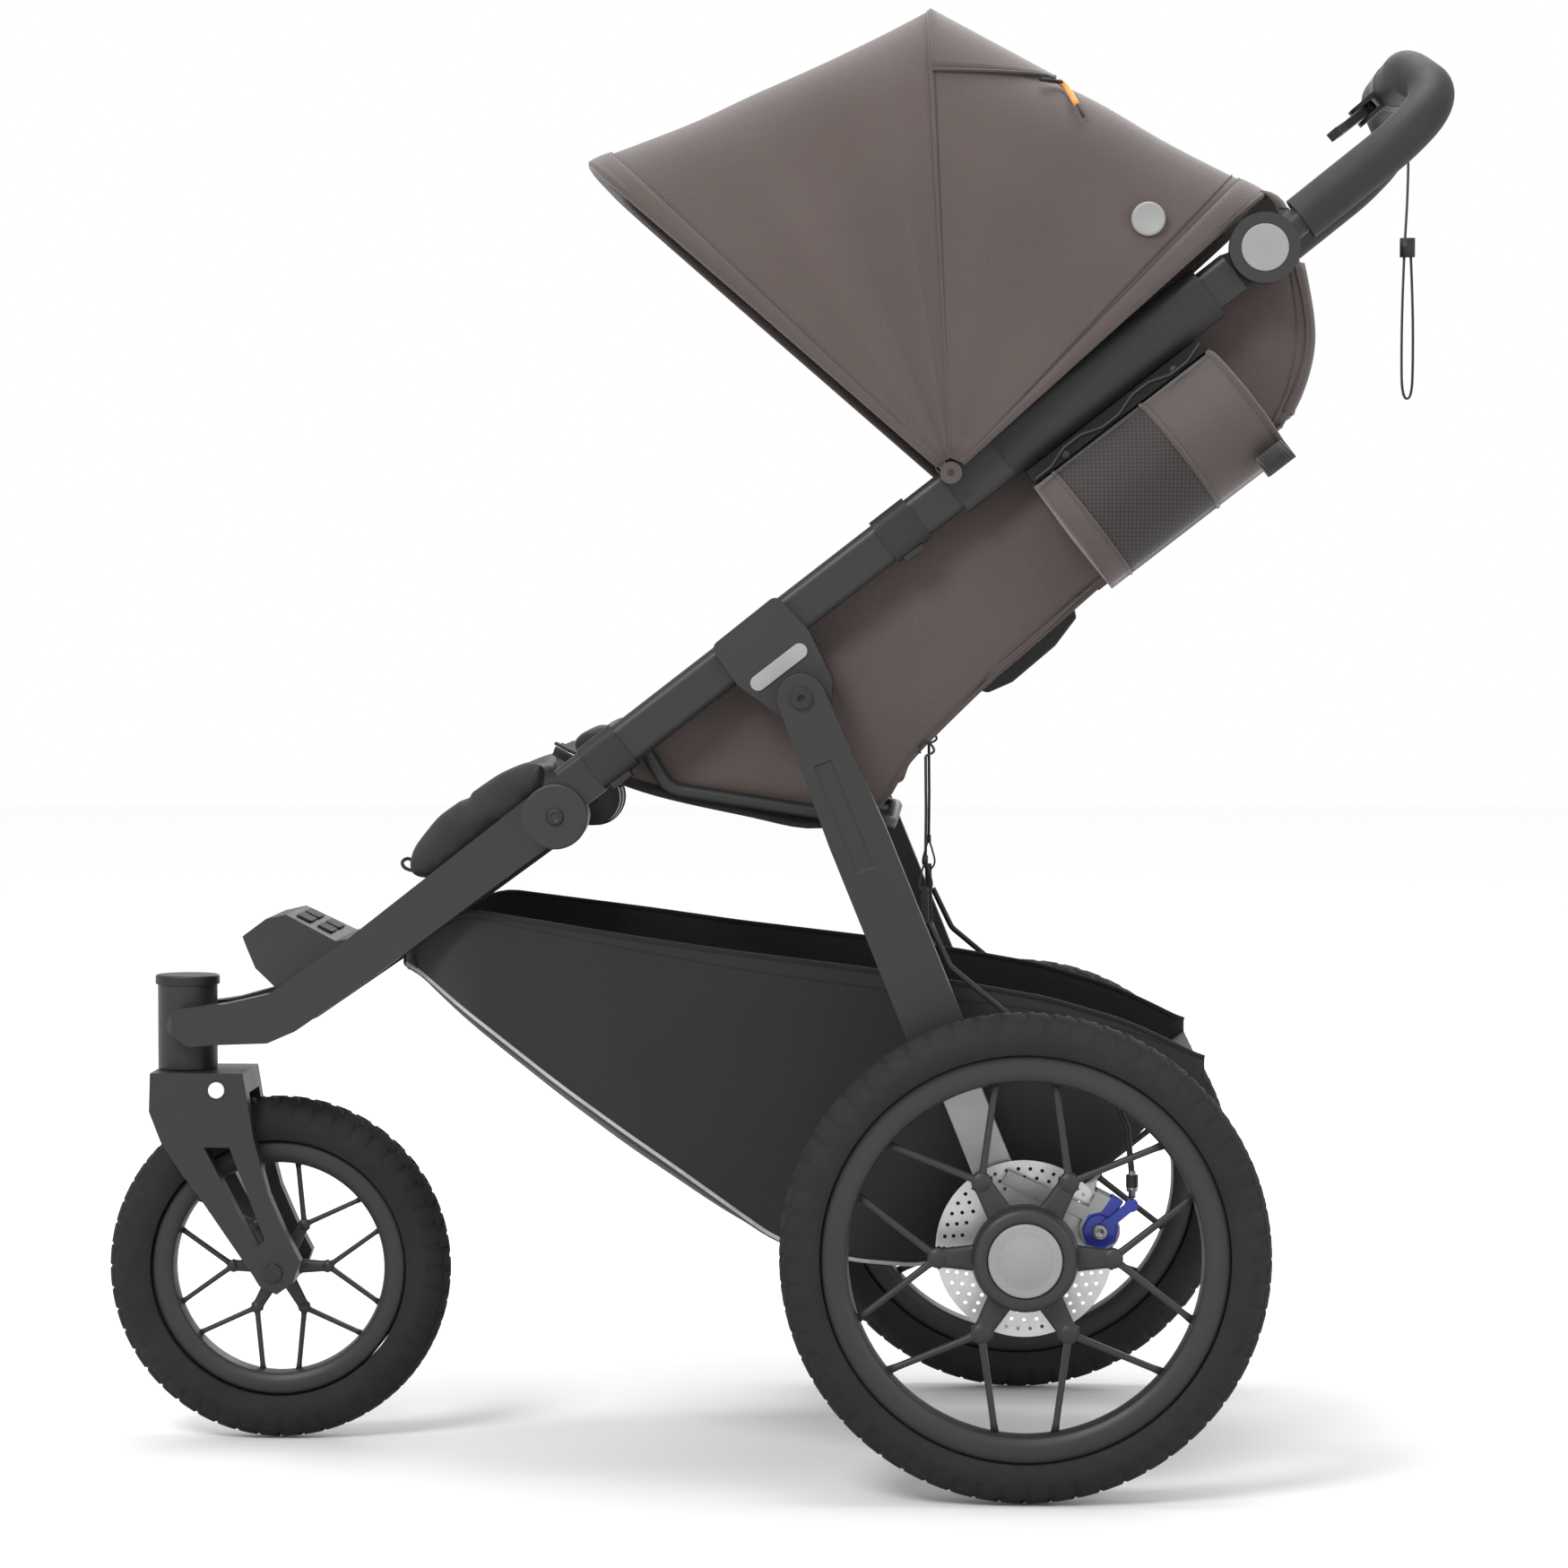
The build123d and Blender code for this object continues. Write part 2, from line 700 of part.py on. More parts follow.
lever_out = Vector(-0.76, 0, -0.65)         # from the crossbar towards the lever
lever_axis = Vector(0.65, 0, -0.76)
lever_plane = Plane(origin=(bar_x, 0, bar_z), x_dir=lever_out, z_dir=lever_axis)
lever_pivot = 30
lever_t = 8
with BuildPart() as brake_clamp:
    with BuildSketch(Plane(origin=(bar_x, clamp_half - 0.4, bar_z), z_dir=(0, -1, 0))):
        Circle(grip_d / 2 + 0.5)
    extrude(amount=2 * clamp_half - 0.8)
    with BuildSketch(lever_plane.offset(-lever_t / 2 - 4.3)):
        with Locations((26, 0)):
            RectangleRounded(36, 26, 8)
    extrude(amount=lever_t + 8.6)
    with BuildSketch(lever_plane.offset(-lever_t / 2 - 0.3)):
        with Locations((20 + 20, 0)):
            Rectangle(40, 40)
    extrude(amount=lever_t + 0.6, mode=Mode.SUBTRACT)
    with BuildSketch(Plane(origin=(bar_x, clamp_half, bar_z), z_dir=(0, -1, 0))):
        Circle(bar_d / 2)
    extrude(amount=2 * clamp_half, mode=Mode.SUBTRACT)
    with BuildSketch(lever_plane.offset(-lever_t / 2 - 4.3)):
        with Locations((lever_pivot, 0)):
            Circle(2.5)
    extrude(amount=lever_t + 8.6)
save(brake_clamp.part, "brake_clamp")

lever_side = lever_plane.y_dir.Y            # +1 where the plane's own Y runs to the right
with BuildPart() as brake_lever:
    with BuildSketch(lever_plane.offset(-lever_t / 2)):
        with Locations((lever_pivot, 0)):
            Circle(8)
        with BuildLine():
            Polyline(
                (lever_pivot, 0), (46, -22 * lever_side), (62, -46 * lever_side),
                (76, -88 * lever_side),
            )
        trace(line_width=11)
        with Locations((lever_pivot, 0)):
            Circle(2.5 + running, mode=Mode.SUBTRACT)
    extrude(amount=lever_t)
save(brake_lever.part, "brake_lever")

strap_y, strap_w, strap_t = -60, 10, 1.6
strap_route = [
    (327.0, 1158.6), (327.6, 1118), (326.9, 1076), (324.6, 1036), (322.9, 990), (322.2, 944),
    (322.9, 906), (331.3, 905), (332.2, 944), (331.6, 990), (329.6, 1034),
]
strap_points = [behind(x, z) for x, z in strap_route]
strap_radii = [80, 90, 150, 180, 100, 3.6, 3.6, 100, 180]
with BuildPart() as wrist_strap:
    with BuildLine(side(-strap_y)) as strap_line:
        FilletPolyline(*strap_points, radius=strap_radii)
    with BuildSketch(Plane(origin=strap_line.line @ 0, x_dir=(0, 1, 0), z_dir=strap_line.line % 0)):
        Rectangle(strap_w, strap_t)
    sweep(path=strap_line.line)
save(wrist_strap.part, "wrist_strap")

# ---- seat: tube, shell, pads, harness ---------------------------------------------------------------
tube_r = 6
tube_y = rail_in - tube_r - gap
with BuildPart() as seat_tube:
    with BuildLine() as tube_line:
        FilletPolyline(
            (behind(-316, 0)[0], -tube_y, 611), (behind(-296, 0)[0], -tube_y, 577),
            (behind(-112, 0)[0], -tube_y, 548), (behind(-112, 0)[0], tube_y, 548),
            (behind(-296, 0)[0], tube_y, 577), (behind(-316, 0)[0], tube_y, 611),
            radius=[24, 26, 26, 24],
        )
    with BuildSketch(Plane(origin=tube_line.line @ 0, z_dir=tube_line.line % 0)):
        Circle(tube_r)
    sweep(path=tube_line.line)
save(seat_tube.part, "seat_tube")

wing_out = tube_y - tube_r - gap
wing_t = 3
seat_half = wing_out - wing_t - 4
crease = behind(-106, 588)
wing = outline(
    [
        (-392, 612), (-388, 604), (-310, 579), (-175, 556), (-124, 563), (-98, 597), (-80, 617),
        (-33, 663), (59, 748), (214, 879), (230, 940), (224, 1003), (196, 1015), (-60, 822),
        (-247, 678), (-345, 606), (-372, 616),
    ]
)
with BuildPart() as seat_base:
    for plane in (side(wing_out - wing_t), side(-wing_out)):
        with BuildSketch(plane):
            with BuildLine():
                Polyline(*wing, close=True)
            make_face()
        extrude(amount=wing_t)
    with BuildSketch(side(-wing_out)):
        with BuildLine():
            Polyline(
                *outline(
                    [
                        (-392, 612), (-388, 604), (-310, 579), (-175, 556), (-124, 563),
                        (-126, 568), (-175, 561), (-309, 584), (-385, 608), (-389, 613),
                    ]
                ),
                close=True,
            )
        make_face()
    extrude(amount=2 * wing_out)
    for plane in (side(seat_half - 14), side(-wing_out)):
        with BuildSketch(plane):
            with Locations(crease):
                Circle(3)
        extrude(amount=wing_out - seat_half + 14)
save(seat_base.part, "seat_base")

with BuildPart() as seat_pad:
    with BuildSketch(side(-seat_half)):
        with BuildLine():
            Polyline(
                *outline(
                    [
                        (-384, 608.6), (-309, 584.4), (-175, 561.4), (-136, 566.8), (-136, 588),
                        (-176, 584), (-306, 607), (-372, 628), (-386, 622),
                    ]
                ),
                close=True,
            )
        make_face()
    extrude(amount=2 * seat_half)
save(seat_pad.part, "seat_pad")

back_angle = 41.5
back_slope = math.radians(back_angle)
BACK = behind(-100, 598)


def on_back(along, up=0):
    """Side-view point up the seat back from the crease, and off its rear face."""
    return (
        BACK[0] + along * math.cos(back_slope) - up * math.sin(back_slope),
        BACK[1] + along * math.sin(back_slope) + up * math.cos(back_slope),
    )


back_len, back_t, pad_t = 406, 8, 22
with BuildPart() as seat_back:
    with BuildSketch(side(-seat_half)):
        with BuildLine():
            Polyline(
                on_back(6, 4), on_back(back_len, 4), on_back(back_len, 4 + back_t),
                on_back(6, 4 + back_t), close=True,
            )
        make_face()
        with Locations(crease):
            Circle(7)
        with BuildLine():
            Line(crease, on_back(10, 8))
        trace(line_width=8)
    extrude(amount=2 * seat_half)
    with BuildSketch(side(-seat_half - 1)):
        with Locations(crease):
            Circle(3 + running)
    extrude(amount=2 * seat_half + 2, mode=Mode.SUBTRACT)
save(seat_back.part, "seat_back")

pad_low = 4 + back_t + gap
with BuildPart() as back_pad:
    with BuildSketch(side(-seat_half)):
        with BuildLine():
            Polyline(
                on_back(12, pad_low), on_back(back_len - 2, pad_low),
                on_back(back_len - 8, pad_low + pad_t - 4), on_back(back_len - 24, pad_low + pad_t),
                on_back(30, pad_low + pad_t), on_back(14, pad_low + pad_t - 8), close=True,
            )
        make_face()
    extrude(amount=2 * seat_half)
save(back_pad.part, "back_pad")

harness_low = pad_low + pad_t + gap
with BuildPart() as shoulder_harness:
    for y in (52, -52):
        with BuildSketch(side(y - 22)):
            with BuildLine():
                Polyline(
                    on_back(150, harness_low), on_back(320, harness_low),
                    on_back(316, harness_low + 10), on_back(154, harness_low + 10), close=True,
                )
            make_face()
        extrude(amount=44)
save(shoulder_harness.part, "shoulder_harness")

with BuildPart() as lap_harness:
    with BuildSketch(side(-22)):
        with BuildLine():
            Polyline(
                *outline([(-262, 599.8), (-214, 591.6), (-212, 612), (-260, 620)]), close=True
            )
        make_face()
    extrude(amount=44)
    with BuildSketch(side(-seat_half + 6)):
        with BuildLine():
            Polyline(
                *outline([(-228, 594), (-204, 590), (-203.6, 592.6), (-227.6, 596.6)]), close=True
            )
        make_face()
    extrude(amount=2 * seat_half - 12)
save(lap_harness.part, "lap_harness")

with BuildPart() as recline_grip:
    with BuildSketch(side(-30)):
        with BuildLine():
            Polyline(
                on_back(84, 4), on_back(196, 4), on_back(190, -7), on_back(160, -13),
                on_back(112, -12), on_back(90, -5), close=True,
            )
        make_face()
    extrude(amount=60)
save(recline_grip.part, "recline_grip")

# ---- calf rest and footplate on the front frame ---------------------------------------------------------
rest_plan = [(-640, 54 - gap), (-420, front_in - gap), (-400, front_in - gap)]
with BuildPart() as calf_rest:
    with BuildSketch(side(-front_in)):
        with BuildLine():
            Polyline(
                *outline(
                    [
                        (-402, 604), (-440, 586), (-500, 545), (-531, 506), (-529, 491),
                        (-512, 489), (-470, 517), (-425, 553), (-402, 576),
                    ]
                ),
                close=True,
            )
        make_face()
        fillet(vertices(), 5)
    extrude(amount=2 * front_in)
    with BuildSketch(Plane.XY.offset(400)):
        with BuildLine():
            Polyline(*mirrored_plan(rest_plan), close=True)
        make_face()
    extrude(amount=300, mode=Mode.INTERSECT)
save(calf_rest.part, "calf_rest")

plate_half = 84
plate_side = outline(
    [
        (-674, 443), (-652, 459), (-634, 463), (-590, 441), (-561, 446), (-567, 424), (-600, 404),
        (-640, 396), (-662, 416),
    ]
)
with BuildPart() as footplate:
    with BuildSketch(side(-plate_half)):
        with BuildLine():
            Polyline(*plate_side, close=True)
        make_face()
    extrude(amount=2 * plate_half)
    with BuildSketch(Plane.XY.offset(380)):
        with BuildLine():
            Polyline(
                *[(x + axle_x, y) for x, y in (
                    (-676, -56), (-560, -84), (-560, 84), (-676, 56)
                )],
                close=True,
            )
        make_face()
        fillet(vertices(), 12)
    extrude(amount=100, mode=Mode.INTERSECT)
    add(front_rails.part, mode=Mode.SUBTRACT)
save(footplate.part, "footplate")

tread_slope = math.degrees(math.atan2(22, 44))
with BuildPart() as tread_pads:
    for x, z in ((-622, 457), (-604, 448)):
        for y in (-26, 26):
            px, pz = behind(x, z)
            with BuildSketch(Plane(origin=(px, y, pz), x_dir=(44, 0, -22), z_dir=(22, 0, 44))):
                RectangleRounded(14, 40, 3)
            extrude(amount=2.5)
save(tread_pads.part, "tread_pads")

# ---- basket ----------------------------------------------------------------------------------------------
basket_t = 2.5
basket_side = outline(
    [
        (-528, 416), (-512, 396), (-448, 340), (-335, 255), (-256, 205), (-203, 180), (-83, 170),
        (-46, 190), (-24, 214), (10, 222), (66, 256), (98, 288), (110, 330), (154, 350),
        (80, 384), (-54, 416), (-130, 424), (-254, 440), (-400, 463), (-470, 473.2),
    ]
)
basket_inner = outline(
    [
        (-520, 416), (-508, 400), (-446, 343), (-334, 258), (-255, 208), (-202, 183), (-84, 173),
        (-48, 193), (-26, 217), (9, 225), (64, 259), (95, 290), (107, 332), (144, 350),
        (79, 381), (-54, 413), (-60, 520), (-470, 520),
    ]
)
basket_plan = [(-530, 100), (-470, 162), (-330, 196), (-60, 206), (160, 200)]


def basket_solid(points, inset):
    with BuildPart() as bag:
        with BuildSketch(side(-220)):
            with BuildLine():
                Polyline(*points, close=True)
            make_face()
        extrude(amount=440)
        with BuildSketch(Plane.XY.offset(100)):
            with BuildLine():
                Polyline(*mirrored_plan([(x, w - inset) for x, w in basket_plan]), close=True)
            make_face()
        extrude(amount=500, mode=Mode.INTERSECT)
    return bag.part


with BuildPart() as basket:
    add(basket_solid(basket_side, 0))
    add(basket_solid(basket_inner, basket_t), mode=Mode.SUBTRACT)
save(basket.part, "basket")

tether_x, tether_y = behind(-82, 0)[0], wing_out - wing_t / 2
tether_top, tether_knot, tether_low = 613, 494, 419.4
tether_r, tether_cord_r = 3.2, 1.2
with BuildPart() as seat_tether:
    with BuildSketch(Plane.XY.offset(tether_low)):
        with Locations((tether_x, -tether_y), (tether_x, tether_y)):
            Circle(tether_r)
    extrude(amount=tether_knot - tether_low)
    with BuildSketch(Plane.XY.offset(tether_knot)):
        with Locations((tether_x, -tether_y), (tether_x, tether_y)):
            Circle(tether_cord_r)
    extrude(amount=tether_top - tether_knot)
save(seat_tether.part, "seat_tether")

# ---- side pouches and their clip strips --------------------------------------------------------------------
pouch_in, pouch_out = rail_in - 4, 274
pouch_wall = 3
pouch_drop = sleeve_h / 2 + 14          # from the rail's middle down to the pouch's top seam
pouch_start, pouch_end = 87, 268        # along the rail, from the mouth to the closed end
pouch_foot = pouch_drop + 106.5
pouch_side = [
    on_rail(pouch_start, -pouch_drop), on_rail(pouch_end, -pouch_drop),
    on_rail(pouch_end, -pouch_foot), on_rail(pouch_start + 4, -pouch_foot),
]
pouch_hollow = [
    on_rail(pouch_start - 10, -pouch_drop - pouch_wall),
    on_rail(pouch_end - pouch_wall, -pouch_drop - pouch_wall),
    on_rail(pouch_end - pouch_wall, -pouch_foot + pouch_wall),
    on_rail(pouch_start - 10, -pouch_foot + pouch_wall),
]
with BuildPart() as side_pouches:
    with BuildSketch(side(pouch_in)):
        with BuildLine():
            Polyline(*pouch_side, close=True)
        make_face()
    extrude(amount=pouch_out - pouch_in)
    with BuildSketch(side(pouch_in + pouch_wall)):
        with BuildLine():
            Polyline(*pouch_hollow, close=True)
        make_face()
    extrude(amount=pouch_out - pouch_in - 2 * pouch_wall, mode=Mode.SUBTRACT)
    mirror(about=Plane.XZ)
save(side_pouches.part, "side_pouches")

strip_h = pouch_drop - sleeve_h / 2 - 2 * gap
strip_w = 14
with BuildPart() as pouch_strips:
    with BuildSketch(rail_plane(pouch_start + 2, pouch_in + strip_w / 2)):
        with Locations((-sleeve_h / 2 - gap - strip_h / 2, 0)):
            Rectangle(strip_h, strip_w)
    extrude(amount=pouch_end - pouch_start - 4)
    mirror(about=Plane.XZ)
save(pouch_strips.part, "pouch_strips")

# ---- canopy: bows, panels and the rear wall ------------------------------------------------------------------
front_bow_angle, mid_bow_angle, rear_bow_angle = 139, 92.9, 42
front_bow_r, mid_bow_r, rear_bow_r = 409, 396, 359
crown_drop = 12
bow_narrowing = 34
shoulder = 250
bend_radii = [200, 90, 900, 90, 200]


def bow_frame(angle):
    """Plane of a bow: its X is to the left side and its Y is out from the pivot."""
    a = math.radians(angle)
    out = Vector(math.cos(a), 0, math.sin(a))
    return Plane(
        origin=(CANOPY[0], 0, CANOPY[1]), x_dir=(0, -1, 0), z_dir=Vector(0, -1, 0).cross(out)
    )


def bow_corners(radius, foot_y, foot=12):
    """Half arch corners, left to right: upright legs, a narrowing shoulder and a low crown."""
    top = foot_y - bow_narrowing
    left = [(foot_y, foot), (foot_y - 2, shoulder), (top, radius - crown_drop)]
    return left + [(0, radius)] + [(-y, out) for y, out in reversed(left)]


def bow(angle, radius, foot_y, eye_in):
    """A bent wire bow with a flat eye at each end, on the canopy pivot."""
    plane = bow_frame(angle)
    with BuildPart() as wire:
        with BuildLine(plane) as arch:
            FilletPolyline(*bow_corners(radius - bow_d, foot_y), radius=bend_radii)
        with BuildSketch(Plane(origin=arch.line @ 0, z_dir=arch.line % 0)):
            Circle(bow_d / 2)
        sweep(path=arch.line)
        for eye_plane in (side(eye_in), side(-eye_in - bow_d)):
            with BuildSketch(eye_plane):
                with Locations(CANOPY):
                    Circle(9)
                with BuildLine():
                    a = math.radians(angle)
                    Line(CANOPY, (CANOPY[0] + 18 * math.cos(a), CANOPY[1] + 18 * math.sin(a)))
                trace(line_width=bow_d)
                with Locations(CANOPY):
                    Circle(canopy_pin_r + running, mode=Mode.SUBTRACT)
            extrude(amount=bow_d)
    return wire.part


save(bow(mid_bow_angle, mid_bow_r, bow_y_mid, bow_y_mid - bow_d / 2), "canopy_mid_bow")
save(bow(front_bow_angle, front_bow_r, bow_y_front, bow_y_front - bow_d / 2), "canopy_front_bow")

panel_t = 2
panel_foot = 22


def panel_ring(angle, radius, foot_y):
    """Arched section of the canopy cloth, just outside a bow."""
    with BuildSketch(bow_frame(angle)) as ring:
        with BuildLine():
            arch = FilletPolyline(*bow_corners(radius, foot_y, panel_foot), radius=bend_radii)
            inner = FilletPolyline(
                *bow_corners(radius - panel_t, foot_y - panel_t, panel_foot), radius=bend_radii
            )
            Line(arch @ 0, inner @ 0)
            Line(arch @ 1, inner @ 1)
        make_face()
    return ring.sketch


cloth_y = bow_y_front + bow_d / 2 + gap + panel_t
with BuildPart() as canopy_front_panel:
    loft(
        sections=[
            panel_ring(front_bow_angle, front_bow_r, cloth_y).face(),
            panel_ring(mid_bow_angle + 1, mid_bow_r, cloth_y).face(),
        ],
        ruled=True,
    )
save(canopy_front_panel.part, "canopy_front_panel")

with BuildPart() as canopy_mid_panel:
    loft(
        sections=[
            panel_ring(mid_bow_angle - 1, mid_bow_r, cloth_y).face(),
            panel_ring(rear_bow_angle, rear_bow_r, cloth_y).face(),
        ],
        ruled=True,
    )
save(canopy_mid_panel.part, "canopy_mid_panel")

rear_half = wing_out - wing_t - gap
with BuildPart() as canopy_rear_panel:
    with BuildSketch(side(-rear_half)):
        with BuildLine():
            Polyline(
                *outline(
                    [
                        (199, 1071.3), (208, 1069), (217, 1056), (226, 1013), (233, 940),
                        (217, 884), (214, 886), (229.4, 940), (222.4, 1012), (213.6, 1054),
                        (206, 1064), (197, 1068.5),
                    ]
                ),
                close=True,
            )
        make_face()
    extrude(amount=2 * rear_half)
save(canopy_rear_panel.part, "canopy_rear_panel")

print("strap turns at radius", strap_radii, "mm; cable turns at radius", cable_bend, "mm")
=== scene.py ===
"""Jogging stroller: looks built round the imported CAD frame, in metres.

Side-view places are millimetres from the point on the floor under the rear axle, as in P(x, z).
"""
import math

import bmesh
import bpy
from mathutils import Matrix, Vector, noise
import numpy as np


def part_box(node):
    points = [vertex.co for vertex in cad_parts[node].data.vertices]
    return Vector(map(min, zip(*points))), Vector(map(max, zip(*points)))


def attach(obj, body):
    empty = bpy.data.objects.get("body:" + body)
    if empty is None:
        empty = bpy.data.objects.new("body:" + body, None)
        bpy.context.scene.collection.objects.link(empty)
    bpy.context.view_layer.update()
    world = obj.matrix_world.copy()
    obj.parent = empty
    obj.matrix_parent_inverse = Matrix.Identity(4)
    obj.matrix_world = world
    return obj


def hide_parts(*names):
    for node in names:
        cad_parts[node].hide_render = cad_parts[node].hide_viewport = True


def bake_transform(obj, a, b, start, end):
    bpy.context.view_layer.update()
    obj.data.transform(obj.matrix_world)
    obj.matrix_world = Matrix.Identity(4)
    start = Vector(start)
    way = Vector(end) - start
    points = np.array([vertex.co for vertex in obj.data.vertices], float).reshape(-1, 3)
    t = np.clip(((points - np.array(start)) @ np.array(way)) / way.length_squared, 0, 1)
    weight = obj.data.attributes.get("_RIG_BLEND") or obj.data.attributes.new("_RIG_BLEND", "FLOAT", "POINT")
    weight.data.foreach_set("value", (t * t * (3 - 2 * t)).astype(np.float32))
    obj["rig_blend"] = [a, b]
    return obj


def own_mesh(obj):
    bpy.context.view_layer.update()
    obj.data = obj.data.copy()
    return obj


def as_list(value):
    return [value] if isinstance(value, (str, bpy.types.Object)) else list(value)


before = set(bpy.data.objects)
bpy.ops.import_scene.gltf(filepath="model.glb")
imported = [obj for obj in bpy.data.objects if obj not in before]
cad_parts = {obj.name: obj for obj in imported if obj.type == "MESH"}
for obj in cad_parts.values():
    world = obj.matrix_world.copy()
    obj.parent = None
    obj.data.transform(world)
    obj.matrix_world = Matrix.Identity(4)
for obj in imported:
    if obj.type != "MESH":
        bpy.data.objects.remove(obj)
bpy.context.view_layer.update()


def centre_of(node):
    low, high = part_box(node)
    return (low + high) / 2


AXLE = centre_of("rear_tyre_left")
FRONT = centre_of("front_tyre")


def P(x, z, y=0.0):
    """Side-view point in millimetres from the rear axle, as a point of the row frame."""
    return Vector((AXLE.x + x / 1000, y / 1000, z / 1000))


# The main rails run down and forward from the handle's pivot.
HUB = P(195.4, 1021.7)
RAIL = Vector((math.cos(math.radians(37.7)), 0, math.sin(math.radians(37.7))))
RAIL_UP = Vector((-RAIL.z, 0, RAIL.x))
SIDES = (("left", -1), ("right", 1))


# ---- materials ---------------------------------------------------------------------------------
COAT_SPECULAR, METAL_SPECULAR = 0.3, 0.5


def grey(level):
    return (level, level, level)


def material(name, color, rough, metal=0.0, sheen=0.0, coat=0.0):
    """A principled material."""
    mat = bpy.data.materials.new(name)
    mat.use_nodes = True
    tree = mat.node_tree
    shader = tree.nodes["Principled BSDF"]
    shader.inputs["Base Color"].default_value = (*color, 1)
    shader.inputs["Roughness"].default_value = rough
    shader.inputs["Metallic"].default_value = metal
    shader.inputs["Sheen Weight"].default_value = sheen
    shader.inputs["Sheen Roughness"].default_value = 0.5
    shader.inputs["Coat Weight"].default_value = coat
    shader.inputs["Specular IOR Level"].default_value = METAL_SPECULAR if metal else COAT_SPECULAR
    mat.diffuse_color = (*color, 1)
    return mat


def coords(mat, stretch=(1, 1, 1)):
    """Object coordinates, scaled."""
    tree = mat.node_tree
    source = tree.nodes.new("ShaderNodeTexCoord")
    mapping = tree.nodes.new("ShaderNodeMapping")
    mapping.inputs["Scale"].default_value = stretch
    tree.links.new(source.outputs["Object"], mapping.inputs["Vector"])
    return mapping.outputs["Vector"]


def noise_out(mat, scale, detail=3.0, rough=0.55, stretch=(1, 1, 1)):
    node = mat.node_tree.nodes.new("ShaderNodeTexNoise")
    node.inputs["Scale"].default_value = scale
    node.inputs["Detail"].default_value = detail
    node.inputs["Roughness"].default_value = rough
    mat.node_tree.links.new(coords(mat, stretch), node.inputs["Vector"])
    return node.outputs["Fac"]


def wave_out(mat, scale, direction):
    node = mat.node_tree.nodes.new("ShaderNodeTexWave")
    node.bands_direction = direction
    node.inputs["Scale"].default_value = scale
    mat.node_tree.links.new(coords(mat), node.inputs["Vector"])
    return node.outputs["Fac"]


def mix_math(mat, operation, a, b):
    node = mat.node_tree.nodes.new("ShaderNodeMath")
    node.operation = operation
    for socket, value in zip(node.inputs, (a, b)):
        if isinstance(value, (int, float)):
            socket.default_value = value
        else:
            mat.node_tree.links.new(value, socket)
    return node.outputs[0]


def ramp_color(mat, source, low, high, start=0.3, stop=0.7):
    """Base colour that runs from low to high as source goes from start to stop."""
    tree = mat.node_tree
    ramp = tree.nodes.new("ShaderNodeValToRGB")
    ramp.color_ramp.elements[0].position = start
    ramp.color_ramp.elements[0].color = (*low, 1)
    ramp.color_ramp.elements[1].position = stop
    ramp.color_ramp.elements[1].color = (*high, 1)
    tree.links.new(source, ramp.inputs["Fac"])
    tree.links.new(ramp.outputs["Color"], tree.nodes["Principled BSDF"].inputs["Base Color"])


def ramp_rough(mat, source, low, high):
    tree = mat.node_tree
    spread = tree.nodes.new("ShaderNodeMapRange")
    spread.inputs["To Min"].default_value = low
    spread.inputs["To Max"].default_value = high
    tree.links.new(source, spread.inputs["Value"])
    tree.links.new(spread.outputs["Result"], tree.nodes["Principled BSDF"].inputs["Roughness"])


def bump(mat, source, strength, distance):
    """Adds a bump on top of any that is there."""
    tree = mat.node_tree
    node = tree.nodes.new("ShaderNodeBump")
    node.inputs["Strength"].default_value = strength
    node.inputs["Distance"].default_value = distance
    tree.links.new(source, node.inputs["Height"])
    shader = tree.nodes["Principled BSDF"]
    if shader.inputs["Normal"].is_linked:
        tree.links.new(shader.inputs["Normal"].links[0].from_socket, node.inputs["Normal"])
    tree.links.new(node.outputs["Normal"], shader.inputs["Normal"])


def shade(color, factor):
    return tuple(c * factor for c in color)


def woven(name, color, spread=0.12, thread=900.0, sheen=0.25, rough=0.9):
    """Plain-weave melange cloth: crossed threads, fine flecks and a slow change of tone."""
    mat = material(name, color, rough, sheen=sheen)
    fleck = noise_out(mat, 620, 2.0, 0.7, (1, 1, 1.7))
    tone = noise_out(mat, 7, 2.0)
    fleck_share = 0.65
    mixed = mix_math(mat, "ADD", mix_math(mat, "MULTIPLY", fleck, fleck_share),
                     mix_math(mat, "MULTIPLY", tone, 1 - fleck_share))
    ramp_color(mat, mixed, shade(color, 1 - spread), shade(color, 1 + spread), 0.36, 0.64)
    waves = thread / 6.2
    warp = mix_math(mat, "MULTIPLY", wave_out(mat, waves, "X"), wave_out(mat, waves, "Z"))
    bump(mat, mix_math(mat, "ADD", warp, fleck), 0.35, 0.0004)
    return mat


def leatherette(name, color, rough=0.55):
    """Artificial leather with a pebbled grain."""
    mat = material(name, color, rough)
    cells = mat.node_tree.nodes.new("ShaderNodeTexVoronoi")
    cells.inputs["Scale"].default_value = 420
    mat.node_tree.links.new(coords(mat), cells.inputs["Vector"])
    grain = mix_math(mat, "ADD", cells.outputs["Distance"], noise_out(mat, 900, 3.0))
    bump(mat, grain, 0.3, 0.0005)
    ramp_color(mat, noise_out(mat, 9), shade(color, 0.88), shade(color, 1.12))
    ramp_rough(mat, noise_out(mat, 40), rough - 0.07, rough + 0.1)
    return mat


def coated(name, color, rough=0.42):
    """Fine satin powder coat."""
    mat = material(name, color, rough)
    bump(mat, noise_out(mat, 1500, 2.0), 0.12, 0.0004)
    ramp_color(mat, noise_out(mat, 5, 2.0), shade(color, 0.93), shade(color, 1.07))
    ramp_rough(mat, noise_out(mat, 30), rough - 0.06, rough + 0.08)
    return mat


